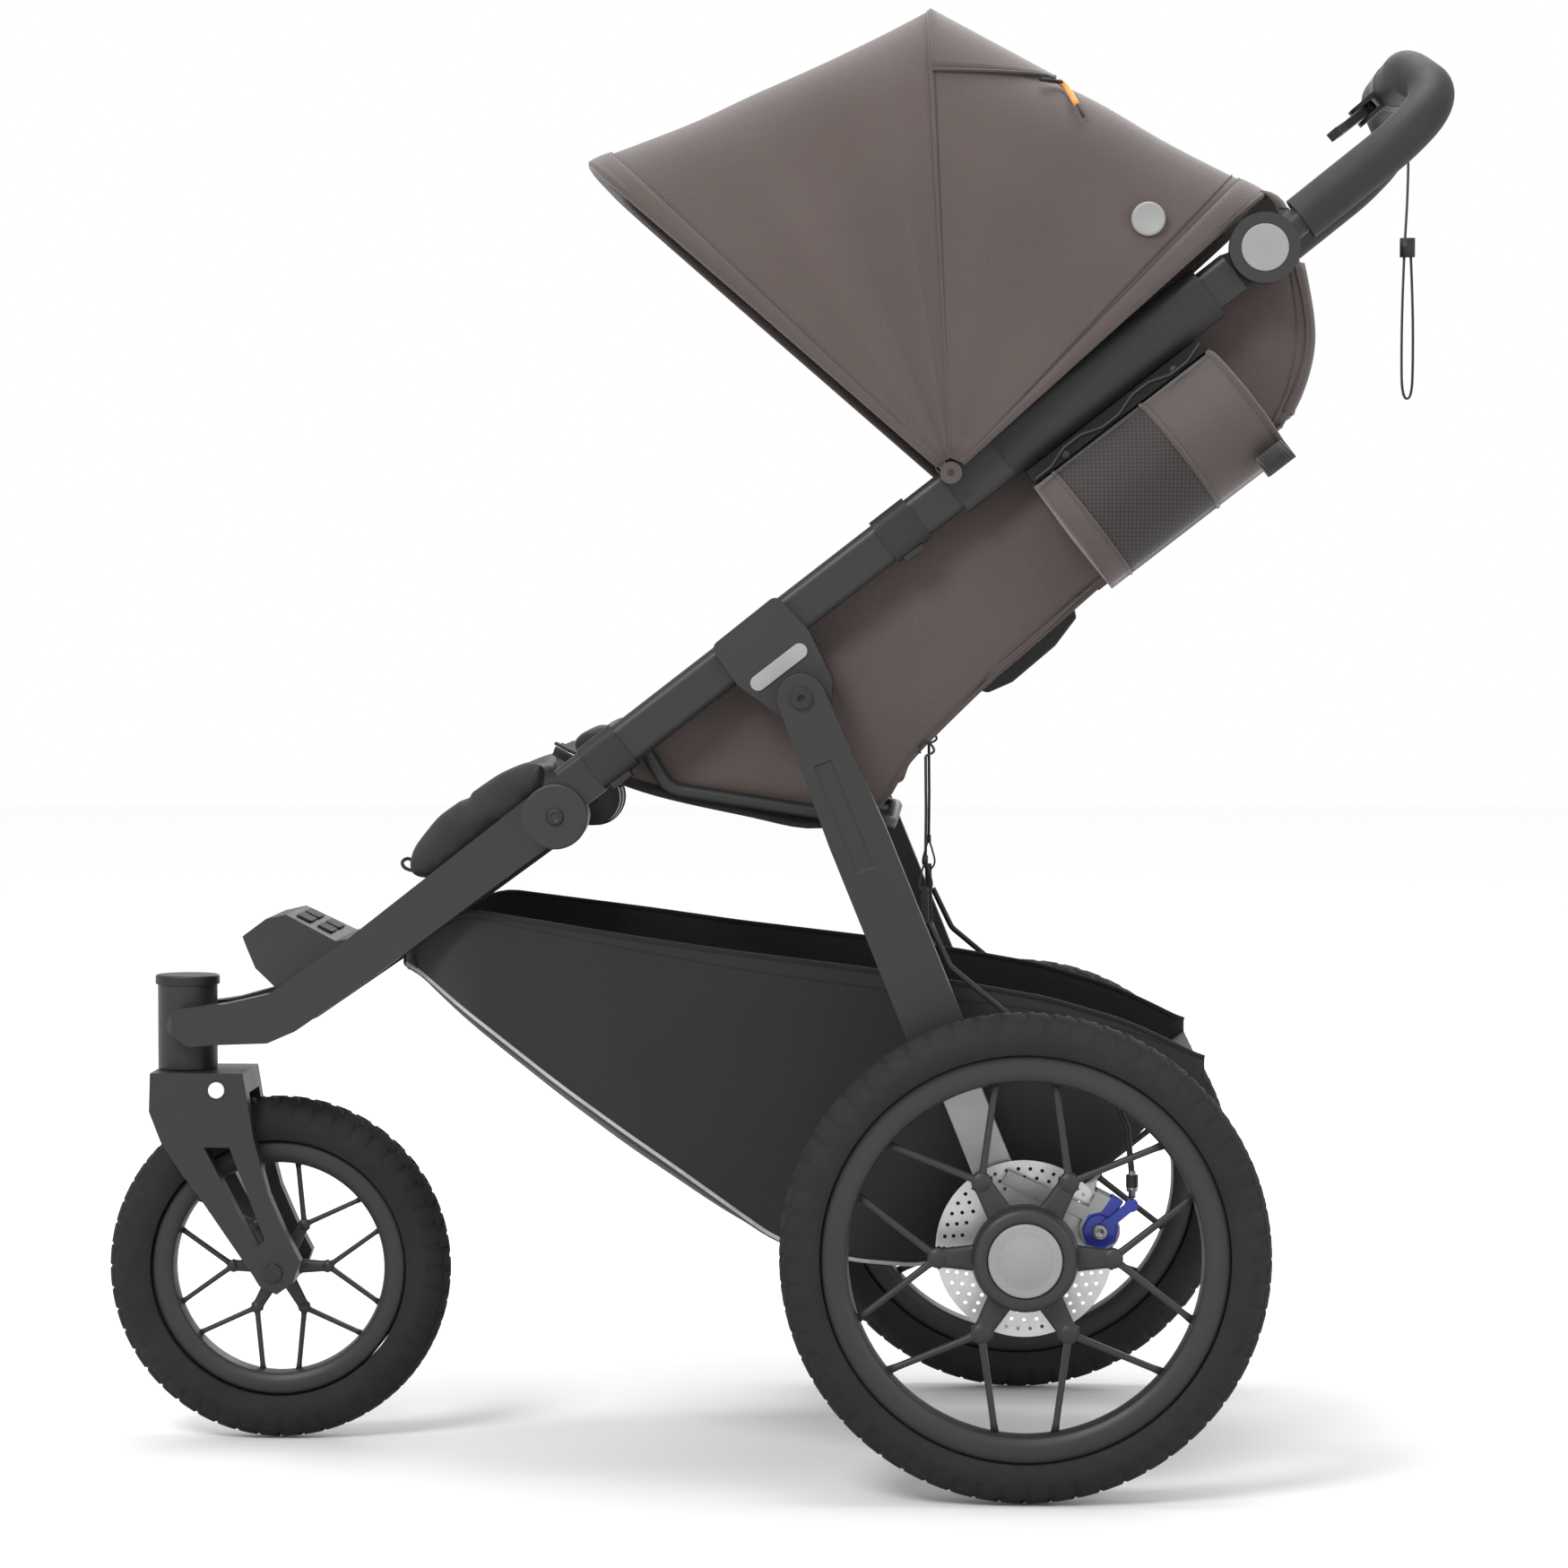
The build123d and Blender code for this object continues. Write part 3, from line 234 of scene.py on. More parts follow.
def moulded(name, color, rough=0.5, grain=900):
    """Moulded plastic with a fine spark-eroded grain."""
    mat = material(name, color, rough)
    bump(mat, noise_out(mat, grain, 4.0, 0.7), 0.16, 0.0005)
    ramp_color(mat, noise_out(mat, 12), shade(color, 0.92), shade(color, 1.08))
    ramp_rough(mat, noise_out(mat, 60), rough - 0.08, rough + 0.08)
    return mat


def rubber(name, color, rough=0.8):
    """Matt rubber with a little dust."""
    mat = material(name, color, rough)
    bump(mat, noise_out(mat, 500, 5.0, 0.7), 0.22, 0.0008)
    dust = noise_out(mat, 14, 4.0, 0.65)
    ramp_color(mat, dust, shade(color, 0.85), shade(color, 1.3), 0.35, 0.75)
    ramp_rough(mat, noise_out(mat, 70), rough - 0.12, rough + 0.08)
    return mat


def brushed(name, color, rough=0.32, stretch=(1, 1, 1)):
    """Bare metal with fine scratches."""
    mat = material(name, color, rough, metal=1.0)
    lines = noise_out(mat, 300, 3.0, 0.6, stretch)
    bump(mat, lines, 0.08, 0.0003)
    ramp_color(mat, noise_out(mat, 25, 3.0), shade(color, 0.9), shade(color, 1.05))
    ramp_rough(mat, lines, rough - 0.08, rough + 0.12)
    return mat


def webbed(name, color):
    """Ribbed webbing."""
    mat = material(name, color, 0.75, sheen=0.2)
    bump(mat, wave_out(mat, 160, "DIAGONAL"), 0.5, 0.0006)
    ramp_color(mat, noise_out(mat, 200, 3.0), shade(color, 0.8), shade(color, 1.25))
    return mat


def netting(name, color, dark):
    """Air mesh: small dark holes in rows."""
    mat = material(name, color, 0.85, sheen=0.15)
    holes = mix_math(mat, "MULTIPLY", wave_out(mat, 95, "X"), wave_out(mat, 95, "Z"))
    ramp_color(mat, holes, color, dark, 0.38, 0.5)
    bump(mat, holes, -0.6, 0.0008)
    return mat


TAUPE = (0.058, 0.044, 0.040)
CHARCOAL = grey(0.018)
taupe = woven("taupe_cloth", TAUPE)
taupe_binding = woven("taupe_binding", shade(TAUPE, 0.86), 0.08, 1300)
# Dark seam lines: the stitching, with the shade in the sunk seams painted into this colour darker than the
# cloth.
thread = woven("seam_thread_and_shade", (0.03, 0.024, 0.022), 0.1, 1500)
black_cloth = woven("basket_cloth", grey(0.011), 0.1, 1000, 0.15)
black_hem = woven("basket_hem", grey(0.007), 0.1, 1200, 0.1)
pad_cloth = woven("pad_cloth", (0.016, 0.0155, 0.015), 0.12, 1100, 0.2)
pad_shell = leatherette("pad_shell", grey(0.0125), 0.6)
pouch_net = netting("pouch_net", (0.026, 0.022, 0.021), (0.008, 0.006, 0.006))
webbing = webbed("black_webbing", grey(0.010))
reflective = material("reflective_piping", grey(0.28), 0.35)
bump(reflective, noise_out(reflective, 900), 0.2, 0.0003)
ramp_color(reflective, noise_out(reflective, 60), grey(0.24), grey(0.32))
frame_coat = coated("frame_coat", grey(0.0165))
dark_coat = coated("dark_coat", grey(0.012), 0.45)
plastic = moulded("charcoal_plastic", CHARCOAL)
dark_plastic = moulded("dark_plastic", grey(0.011), 0.48)
grey_inlay = moulded("grey_inlay", (0.23, 0.23, 0.226), 0.45, 1400)
cap_grey = moulded("cap_grey", (0.195, 0.195, 0.192), 0.38, 1600)
white_button = moulded("white_button", (0.62, 0.62, 0.61), 0.3, 1800)
sleeve_skin = leatherette("sleeve_skin", grey(0.0108))
grip_skin = leatherette("grip_skin", grey(0.0135), 0.6)
pad_rubber = rubber("pad_rubber", grey(0.010), 0.7)
tyre_rubber = rubber("tyre_rubber", grey(0.0085), 0.82)
rim_plastic = moulded("rim_plastic", grey(0.0195), 0.45, 1200)
silver = brushed("silver_plate", grey(0.27), 0.38, (1, 1, 6))
steel = brushed("disc_steel", grey(0.50), 0.34)
blue = material("blue_anodised", (0.014, 0.026, 0.24), 0.32, metal=0.5, coat=0.2)
bump(blue, noise_out(blue, 1200), 0.1, 0.0003)
ramp_color(blue, noise_out(blue, 40), (0.012, 0.022, 0.20), (0.02, 0.034, 0.29))
orange_cord = woven("orange_cord", (0.55, 0.20, 0.035), 0.2, 1800)


# ---- mesh tools --------------------------------------------------------------------------------
def link(name, mesh, mat, smooth=True):
    obj = bpy.data.objects.new(name, mesh)
    bpy.context.scene.collection.objects.link(obj)
    mesh.materials.append(mat)
    for face in mesh.polygons:
        face.use_smooth = smooth
    return obj


def faces_out(mesh, weld=0.0):
    """Turns the faces outward, after merging points that are closer than weld."""
    bm = bmesh.new()
    bm.from_mesh(mesh)
    if weld:
        bmesh.ops.remove_doubles(bm, verts=bm.verts, dist=weld)
    bmesh.ops.recalc_face_normals(bm, faces=bm.faces)
    bm.to_mesh(mesh)
    bm.free()


def mesh_piece(name, verts, faces, mat, smooth=True):
    mesh = bpy.data.meshes.new(name)
    mesh.from_pydata([tuple(v) for v in verts], [], faces)
    faces_out(mesh)
    return link(name, mesh, mat, smooth)


def lofted(name, rows, mat, wrap_rows=False, wrap_cols=False, ends=False):
    """A mesh through rows of points. ends closes the first and the last row."""
    cols = len(rows[0])
    faces = grid_faces(len(rows), cols, wrap_rows, wrap_cols)
    if ends:
        last = (len(rows) - 1) * cols
        faces += [tuple(range(cols)), tuple(reversed(range(last, last + cols)))]
    return mesh_piece(name, [p for row in rows for p in row], faces, mat)


def grid_faces(rows, cols, wrap_rows=False, wrap_cols=False):
    faces = []
    for i in range(rows if wrap_rows else rows - 1):
        for j in range(cols if wrap_cols else cols - 1):
            k, m = (i + 1) % rows, (j + 1) % cols
            faces.append((i * cols + j, i * cols + m, k * cols + m, k * cols + j))
    return faces


def solidify(obj, thickness):
    mod = obj.modifiers.new("cloth thickness", "SOLIDIFY")
    mod.thickness = thickness
    mod.offset = 0.0
    mod.use_even_offset = False


def apply_modifiers(obj):
    graph = bpy.context.evaluated_depsgraph_get()
    mesh = bpy.data.meshes.new_from_object(obj.evaluated_get(graph))
    obj.modifiers.clear()
    obj.data = mesh
    return obj


def sheet_piece(name, rows, mat, thickness=0.0012, wrap_cols=False):
    """A curved sheet through rows of points, given thickness."""
    obj = lofted(name, rows, mat, wrap_cols=wrap_cols)
    solidify(obj, thickness)
    return apply_modifiers(obj)


def rounded(points, radii, count=None, per_corner=8):
    """Points along a bent line whose corners are rounded, evenly spaced when count is given."""
    points = [Vector(p) for p in points]
    line = [points[0]]
    for k in range(1, len(points) - 1):
        a, b, c = points[k - 1], points[k], points[k + 1]
        into, out = (a - b).normalized(), (c - b).normalized()
        turn = math.pi - into.angle(out)
        room = 0.49 * min((a - b).length, (c - b).length)
        reach = min(radii[k - 1] * math.tan(turn / 2), room)
        start, stop = b + into * reach, b + out * reach
        for i in range(per_corner + 1):
            t = i / per_corner
            line.append(start * (1 - t) ** 2 + b * (2 * t * (1 - t)) + stop * t * t)
    line.append(points[-1])
    return line if count is None else evenly(line, count)


def evenly(line, count):
    """The same line as count points, evenly spaced along it."""
    lengths = [0.0]
    for a, b in zip(line, line[1:]):
        lengths.append(lengths[-1] + (b - a).length)
    result, k = [], 0
    for i in range(count):
        want = lengths[-1] * i / (count - 1)
        while k < len(line) - 2 and lengths[k + 1] < want:
            k += 1
        span = lengths[k + 1] - lengths[k]
        t = 0 if span < 1e-12 else (want - lengths[k]) / span
        result.append(line[k].lerp(line[k + 1], min(1.0, t)))
    return result


def curve_through(points, count):
    """A smooth line through the points, as count evenly spaced points."""
    pts = [Vector(p) for p in points]
    pts = [2 * pts[0] - pts[1]] + pts + [2 * pts[-1] - pts[-2]]
    line = []
    for a, b, c, d in zip(pts, pts[1:], pts[2:], pts[3:]):
        for i in range(8):
            t = i / 8
            line.append(0.5 * (2 * b + (c - a) * t + (2 * a - 5 * b + 4 * c - d) * t * t
                               + (3 * b - a - 3 * c + d) * t ** 3))
    line.append(pts[-2])
    return evenly(line, count)


def swept(name, line, section, mat, closed=False, up=None):
    """A section, points (across, up), carried along a line of points. up fixes the section's turn."""
    count = len(line)
    rows, side_axis = [], None
    for i, p in enumerate(line):
        ahead = line[(i + 1) % count] if closed or i < count - 1 else p
        back = line[i - 1] if closed or i > 0 else p
        along = (ahead - back).normalized()
        if up is not None:
            side_axis = along.cross(Vector(up)).normalized()
        elif side_axis is None:
            helper = Vector((0, 0, 1)) if abs(along.z) < 0.9 else Vector((1, 0, 0))
            side_axis = along.cross(helper).normalized()
        else:
            side_axis = (side_axis - along * side_axis.dot(along)).normalized()
        upward = side_axis.cross(along).normalized()
        rows.append([p + side_axis * a + upward * b for a, b in section])
    return lofted(name, rows, mat, closed, True, ends=not closed)


def circle(radius, count=10):
    turns = [2 * math.pi * k / count for k in range(count)]
    return [(radius * math.cos(a), radius * math.sin(a)) for a in turns]


def flat(width, thick):
    """A flat section with softened edges."""
    w, t = width / 2, thick / 2
    return [(-w, 0), (-w + t, -t), (w - t, -t), (w, 0), (w - t, t), (-w + t, t)]


def pipe(name, line, radius, mat, closed=False, count=10):
    return swept(name, line, circle(radius, count), mat, closed)


def turned(name, profile, centre, mat, steps=64, axis="Y"):
    """Profile points (radius, along) turned about an axis through centre."""
    rows = []
    for c, s in circle(1.0, steps):
        offsets = [(r * c, d, r * s) if axis == "Y" else (r * c, r * s, d) for r, d in profile]
        rows.append([Vector(centre) + Vector(offset) for offset in offsets])
    obj = lofted(name, rows, mat, wrap_rows=True)
    faces_out(obj.data, weld=1e-6)
    return obj


def turned_outward(name, profile, x, z, outer, sign, mat, steps):
    """A turned piece on the side that sign gives, with its profile's zero at outer."""
    obj = turned(name, profile, (x, 0, z), mat, steps)
    for v in obj.data.vertices:
        v.co.y = sign * (outer + v.co.y)
    return obj


def plate(name, outline, y0, y1, mat, edge=0.0015):
    """A flat plate with a side-view outline, from y0 to y1, with rounded edges."""
    verts = [Vector((p.x, y0, p.z)) for p in outline] + [Vector((p.x, y1, p.z)) for p in outline]
    n = len(outline)
    faces = [tuple(range(n)), tuple(reversed(range(n, 2 * n)))]
    faces += [(i, (i + 1) % n, n + (i + 1) % n, n + i) for i in range(n)]
    obj = mesh_piece(name, verts, faces, mat)
    rounded_edges(obj, edge)
    return apply_modifiers(obj)


def rounded_edges(obj, width, angle=35.0, segments=3):
    mod = obj.modifiers.new("rounded edges", "BEVEL")
    mod.width = width
    mod.segments = segments
    mod.limit_method = "ANGLE"
    mod.angle_limit = math.radians(angle)
    mod.harden_normals = True
    return mod


def joined(name, objects):
    """Several meshes as one piece."""
    bm = bmesh.new()
    mats = []
    for obj in objects:
        start = len(bm.faces)
        bm.from_mesh(obj.data)
        bm.faces.ensure_lookup_table()
        here = list(obj.data.materials)
        mats += [m for m in here if m not in mats]
        for face in bm.faces[start:]:
            face.material_index = mats.index(here[min(face.material_index, len(here) - 1)])
    mesh = bpy.data.meshes.new(name)
    bm.to_mesh(mesh)
    bm.free()
    for m in mats:
        mesh.materials.append(m)
    for obj in objects:
        bpy.data.objects.remove(obj)
    made = bpy.data.objects.new(name, mesh)
    bpy.context.scene.collection.objects.link(made)
    return made


def mirrored(obj, name):
    """A copy of a piece on the other side of the middle plane."""
    mesh = obj.data.copy()
    mesh.transform(Matrix.Scale(-1, 4, (0, 1, 0)))
    mesh.flip_normals()
    made = bpy.data.objects.new(name, mesh)
    bpy.context.scene.collection.objects.link(made)
    return made


def ripple(p, scale, size):
    """A soft unevenness of cloth at a point."""
    return size * noise.noise(Vector(p) * scale)


def stand_for(obj, slot, *nodes):
    if nodes:
        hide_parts(*nodes)


def place(obj, body, slot, *nodes):
    """Rides on a body and stands for CAD nodes. The slot argument is not used."""
    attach(obj, body)
    stand_for(obj, slot, *nodes)


def blend_by(obj, still, moving, start, stop, weights):
    """Bends a piece between two bodies, with a weight for each of its points."""
    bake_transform(obj, still, moving, start=start, end=stop)
    obj.data.attributes["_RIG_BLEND"].data.foreach_set("value", weights)


# ---- camera, light and floor -------------------------------------------------------------------
camera_data = bpy.data.cameras.new("camera")
camera = bpy.data.objects.new("camera", camera_data)
bpy.context.scene.collection.objects.link(camera)
# A long lens from the left, a little above the middle, looking slightly back and down.
camera.location = (0.1722, -4.2987, 0.727)
look_yaw, look_pitch = -0.0364, 0.0356
forward = Vector((math.sin(look_yaw) * math.cos(look_pitch),
                  math.cos(look_yaw) * math.cos(look_pitch), -math.sin(look_pitch)))
camera.rotation_euler = forward.to_track_quat("-Z", "Y").to_euler()
camera_data.sensor_width = 36
camera_data.lens = 113.36
bpy.context.scene.camera = camera
bpy.context.scene.view_settings.view_transform = "Standard"


def lamp(name, place_at, target, size, power):
    data = bpy.data.lights.new(name, "AREA")
    data.shape = "DISK"
    data.size = size
    data.energy = power
    obj = bpy.data.objects.new(name, data)
    obj.location = place_at
    obj.rotation_euler = (Vector(target) - Vector(place_at)).to_track_quat("-Z", "Y").to_euler()
    bpy.context.scene.collection.objects.link(obj)


lamp("key", (-1.6, -3.2, 3.4), (0, 0, 0.6), 1.6, 150)
lamp("top", (0.2, 0.3, 3.6), (0, 0, 0.5), 2.2, 85)
lamp("fill", (2.6, -2.4, 1.6), (0, 0, 0.6), 2.0, 26)
lamp("back", (0.8, 3.4, 2.4), (0, 0, 0.6), 2.2, 40)

world = bpy.data.worlds.new("studio")
world.use_nodes = True
world.node_tree.nodes["Background"].inputs["Color"].default_value = (1, 1, 1, 1)
world.node_tree.nodes["Background"].inputs["Strength"].default_value = 1.0
bpy.context.scene.world = world

# The floor carries a painted shadow: its colour is darker under the object, and runs out into the white
# world.
FLOOR_HALF, FLOOR_LEVEL, SHADOW_FADE = 14, -0.0008, 0.25
floor_painted_shadow = material("floor_painted_shadow", grey(0.93), 0.9)
distance = floor_painted_shadow.node_tree.nodes.new("ShaderNodeVectorMath")
distance.operation = "LENGTH"
floor_painted_shadow.node_tree.links.new(coords(floor_painted_shadow, (SHADOW_FADE,) * 3), distance.inputs[0])
# Painted shadow: the floor's colour is grey near the object and near white far away.
ramp_color(floor_painted_shadow, distance.outputs["Value"], grey(0.66), grey(0.97), 0.2, 0.75)
corners = [(x * FLOOR_HALF, y * FLOOR_HALF, FLOOR_LEVEL) for x, y in ((-1, -1), (1, -1), (1, 1), (-1, 1))]
floor = mesh_piece("floor", corners, [(0, 1, 2, 3)], floor_painted_shadow, False)


# ---- the CAD nodes that stay -------------------------------------------------------------------
def finish_node(node, mat, edge=0.0):
    """Gives a CAD node its material, and softens its edges where its faces are flat."""
    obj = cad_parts[node]
    obj.data.materials.clear()
    obj.data.materials.append(mat)
    for face in obj.data.polygons:
        face.material_index = 0
    if edge:
        for layer in [a.name for a in obj.data.attributes if a.name == "custom_normal"]:
            obj.data.attributes.remove(obj.data.attributes[layer])
        weld = obj.modifiers.new("weld", "WELD")
        weld.merge_threshold = 1e-5
        flatten = obj.modifiers.new("flatten", "DECIMATE")
        flatten.decimate_type = "DISSOLVE"
        flatten.angle_limit = math.radians(1.5)
        rounded_edges(obj, edge, 30)
        for face in obj.data.polygons:
            face.use_smooth = True


for mat, edge, nodes in (
    (frame_coat, 0, "main_rail_left main_rail_right head_tube"),
    (frame_coat, 0.003, "front_rails fork rear_leg_left rear_leg_right"),
    (dark_coat, 0, "seat_tube canopy_mid_bow"),
    (dark_coat, 0.0006, "leg_pivot_bolts"),
    (dark_coat, 0.001, "front_axle"),
    (plastic, 0, "fold_discs handlebar"),
    (plastic, 0.003, "rail_brackets"),
    (plastic, 0.004, "footplate"),
    (dark_plastic, 0, "swivel_knob brake_cables"),
    (dark_plastic, 0.001, "pouch_strips"),
    (dark_plastic, 0.0015, "brake_clamp"),
    (dark_plastic, 0.002, "brake_lever recline_grip"),
    (dark_plastic, 0.003, "parking_pedal"),
    (grey_inlay, 0.0005, "bracket_inlays"),
    (white_button, 0.0008, "fork_button"),
    (sleeve_skin, 0, "rail_sleeves seat_loops"),
    (grip_skin, 0, "handle_grips"),
    (pad_rubber, 0.0008, "tread_pads"),
    (silver, 0.001, "rear_axle"),
    (silver, 0.0015, "calipers"),
    (blue, 0.001, "caliper_arm_left caliper_arm_right"),
    (steel, 0, "head_bearings brake_disc_left brake_disc_right"),
    (cap_grey, 0, "release_cap_left release_cap_right handle_button_left handle_button_right"),
    (taupe, 0, "canopy_front_bow"),
):
    for node in nodes.split():
        finish_node(node, mat, edge)

# ---- wheels ------------------------------------------------------------------------------------
rear_low, rear_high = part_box("rear_tyre_left")
front_low, front_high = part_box("front_tyre")
TYRE_HALF = (rear_high.y - rear_low.y) / 2
REAR_BEAD, FRONT_BEAD = 0.168, 0.113
GROOVE_STEPS = 10


def groove_depth(edge, step, block_turn):
    """Depth cut into the tread at a share of the half width, at one step round the tyre."""
    lean = (block_turn + edge * 0.45) % 1.0
    if edge > 0.62:
        return 0.0022 if block_turn < 0.24 else 0.0
    if edge > 0.54:
        return 0.0024
    if edge > 0.12:
        return 0.0022 if lean < 0.26 else 0.0
    return 0.0020 if (step / GROOVE_STEPS) % 0.5 < 0.1 else 0.0


def treaded_tyre(name, centre, radius, bead, blocks):
    """A tyre with a smooth ribbed sidewall, and shoulder and middle blocks cut by grooves."""
    depth = (radius - bead) / 2 + 0.006
    mid_r = radius - depth
    turns = [(-1.02 + 2.04 * k / 48) * math.pi / 2 * 1.33 for k in range(49)]
    section = [(TYRE_HALF * 0.985 * math.sin(a), math.cos(a)) for a in turns]
    rows = []
    for i, (c, s) in enumerate(circle(1.0, blocks * GROOVE_STEPS)):
        row = []
        for y, up in section:
            r = mid_r + depth * up
            if up > 0.25 and r > radius - 0.030:
                block_turn = (i / GROOVE_STEPS + (0.5 if y > 0 else 0.0)) % 1.0
                r -= groove_depth(abs(y) / TYRE_HALF, i, block_turn)
            elif bead + 0.005 < r < bead + 0.010:
                r += 0.0008
            r = max(r, bead - 0.0014)
            row.append(centre + Vector((r * c, y, r * s)))
        rows.append(row)
    obj = lofted(name, rows, tyre_rubber, wrap_rows=True, wrap_cols=True)
    obj.data.set_sharp_from_angle(angle=math.radians(40))
    return obj


def rod(start, stop, w0, w1, thick, mat):
    """A straight cast spoke, wide in the wheel's plane at each end as given, and rounded."""
    across = (stop - start).cross(Vector((0, 1, 0))).normalized()
    section = [(math.copysign(abs(c) ** 0.6, c), math.copysign(abs(s) ** 0.6, s)) for c, s in circle(1.0, 12)]
    rows = []
    for k in range(9):
        t = k / 8
        root = 1 - min(1.0, min(t, 1 - t) * 6)
        w = (w0 + (w1 - w0) * t) * (1 + 0.35 * root ** 2)
        middle = start.lerp(stop, t)
        rows.append([middle + across * (w / 2 * c) + Vector((0, thick / 2 * s, 0)) for c, s in section])
    return lofted("rod", rows, mat, wrap_cols=True, ends=True)


def wheel_casting(name, centre, bead, inner, hub_r, node_r, arm_w, spoke_w, hub_half, bore, cap_side=0):
    """Rim with a rolled lip, a hub spider and paired spokes from six nodes.

    cap_side is the side of the hub with a cup for the release cap, or 0 for a hub without one.
    """
    mat = rim_plastic
    half = 0.014
    rim_half = [
        (inner - 0.0015, 0.004), (inner, half - 0.003), (inner + 0.001, half), (inner + 0.010, half + 0.0006),
        (bead - 0.004, half + 0.0006), (bead - 0.0012, half - 0.001), (bead - 0.002, half - 0.004),
        (bead - 0.006, 0.004),
    ]
    rim_profile = rim_half + [(r, -d) for r, d in reversed(rim_half)] + rim_half[:1]
    hub_side = [(bore, hub_half), (hub_r - 0.002, hub_half), (hub_r, hub_half - 0.002)]
    if cap_side:
        cup, cup_floor = 0.0302, hub_half - 0.0085
        hub_profile = [(r, -cap_side * d) for r, d in hub_side] + [(hub_r + 0.002, 0.0)]
        hub_profile += [(r, cap_side * d) for r, d in (
            (hub_r, hub_half - 0.003), (hub_r - 0.003, hub_half), (cup + 0.001, hub_half),
            (cup, hub_half - 0.001), (cup, cup_floor), (bore, cup_floor), (bore, -hub_half))]
    else:
        hub_side.append((hub_r + 0.002, 0.006))
        hub_profile = [(r, -d) for r, d in hub_side] + hub_side[::-1] + [(bore, -hub_half)]
    pieces = [turned("rim_ring", rim_profile, centre, mat, 128), turned("hub", hub_profile, centre, mat, 96)]
    knot = [(0.0, 0.0044), (arm_w * 0.5, 0.0044), (arm_w * 0.56, 0.003)]
    knot = [(r, -d) for r, d in knot] + knot[::-1]
    spread = math.radians(20.5)
    for k in range(6):
        a = math.radians(60 * k)
        out = Vector((math.cos(a), 0, math.sin(a)))
        node = centre + out * node_r
        pieces.append(rod(centre + out * (hub_r - 0.004), node, arm_w * 1.5, arm_w, 0.0088, mat))
        pieces.append(turned("node", knot, node, mat, 24))
        for b in (a - spread, a + spread):
            foot = centre + Vector((math.cos(b), 0, math.sin(b))) * (inner + 0.001)
            pieces.append(rod(node, foot, spoke_w, spoke_w * 0.9, 0.0078, mat))
    return joined(name, pieces)


def both_wheels(left, name, slot, node):
    """Puts a left rear piece and its mirror image on the two rear wheels."""
    place(mirrored(left, f"{name}_right"), "rear_wheel_right", slot, f"{node}_right")
    place(left, "rear_wheel_left", slot, f"{node}_left")


rear_r, front_r = (rear_high.z - rear_low.z) / 2, (front_high.z - front_low.z) / 2
left_tyre = treaded_tyre("tyre_rear_left", AXLE, rear_r, REAR_BEAD, 60)
both_wheels(left_tyre, "tyre_rear", "tyre", "rear_tyre")
place(treaded_tyre("tyre_front", FRONT, front_r, FRONT_BEAD, 48), "front_wheel", "tyre", "front_tyre")
left_casting = wheel_casting("casting_rear_left", AXLE, REAR_BEAD, inner=0.145, hub_r=0.042, node_r=0.071,
                             arm_w=0.015, spoke_w=0.006, hub_half=0.020, bore=0.0081, cap_side=-1)
both_wheels(left_casting, "casting_rear", "rim", "rear_rim")
front_casting = wheel_casting("casting_front", FRONT, FRONT_BEAD, inner=0.093, hub_r=0.016, node_r=0.042,
                              arm_w=0.009, spoke_w=0.0046, hub_half=0.0292, bore=0.0051)
place(front_casting, "front_wheel", "rim", "front_rim")

CAP_FACE = abs(AXLE.y) + 0.0225
for side_name, sign in SIDES:
    dish = turned_outward(f"cap_dish_{side_name}", [(0.0, 0.0004), (0.0205, 0.0004), (0.0215, -0.0002),
                                                   (0.0225, 0.0004), (0.0235, -0.0008)],
                          AXLE.x, AXLE.z, CAP_FACE, sign, cap_grey, 64)
    place(dish, f"release_cap_{side_name}", "cap")

SMALL_PARTS = {
    "caliper_knobs": ("rear_legs", "silver"), "caliper_covers": ("rear_legs", "caliper"),
    "cable_adjusters": ("rear_legs", "silver"), "fold_studs": ("upper_frame", "bolt"),
    "loop_buckles": ("upper_frame", "knob"), "basket_hooks": ("front_frame", "bolt"),
}
ARM_PIN = (61.5, 216.4)
COVER = [(-12, -12), (2, -17), (14, -10), (17, 3), (13, 13), (20, 24), (10, 30), (1, 17), (-10, 14), (-16, 2)]
BUCKLE = [(-0.009, -0.008), (0.007, 0.0035), (0.010, -0.001), (-0.006, -0.0125)]
HOOK = [(-520, 431, 106), (-516, 420, 108), (-508, 417, 110), (-503, 425, 110), (-507, 438, 108)]
small = {part_name: [] for part_name in SMALL_PARTS}
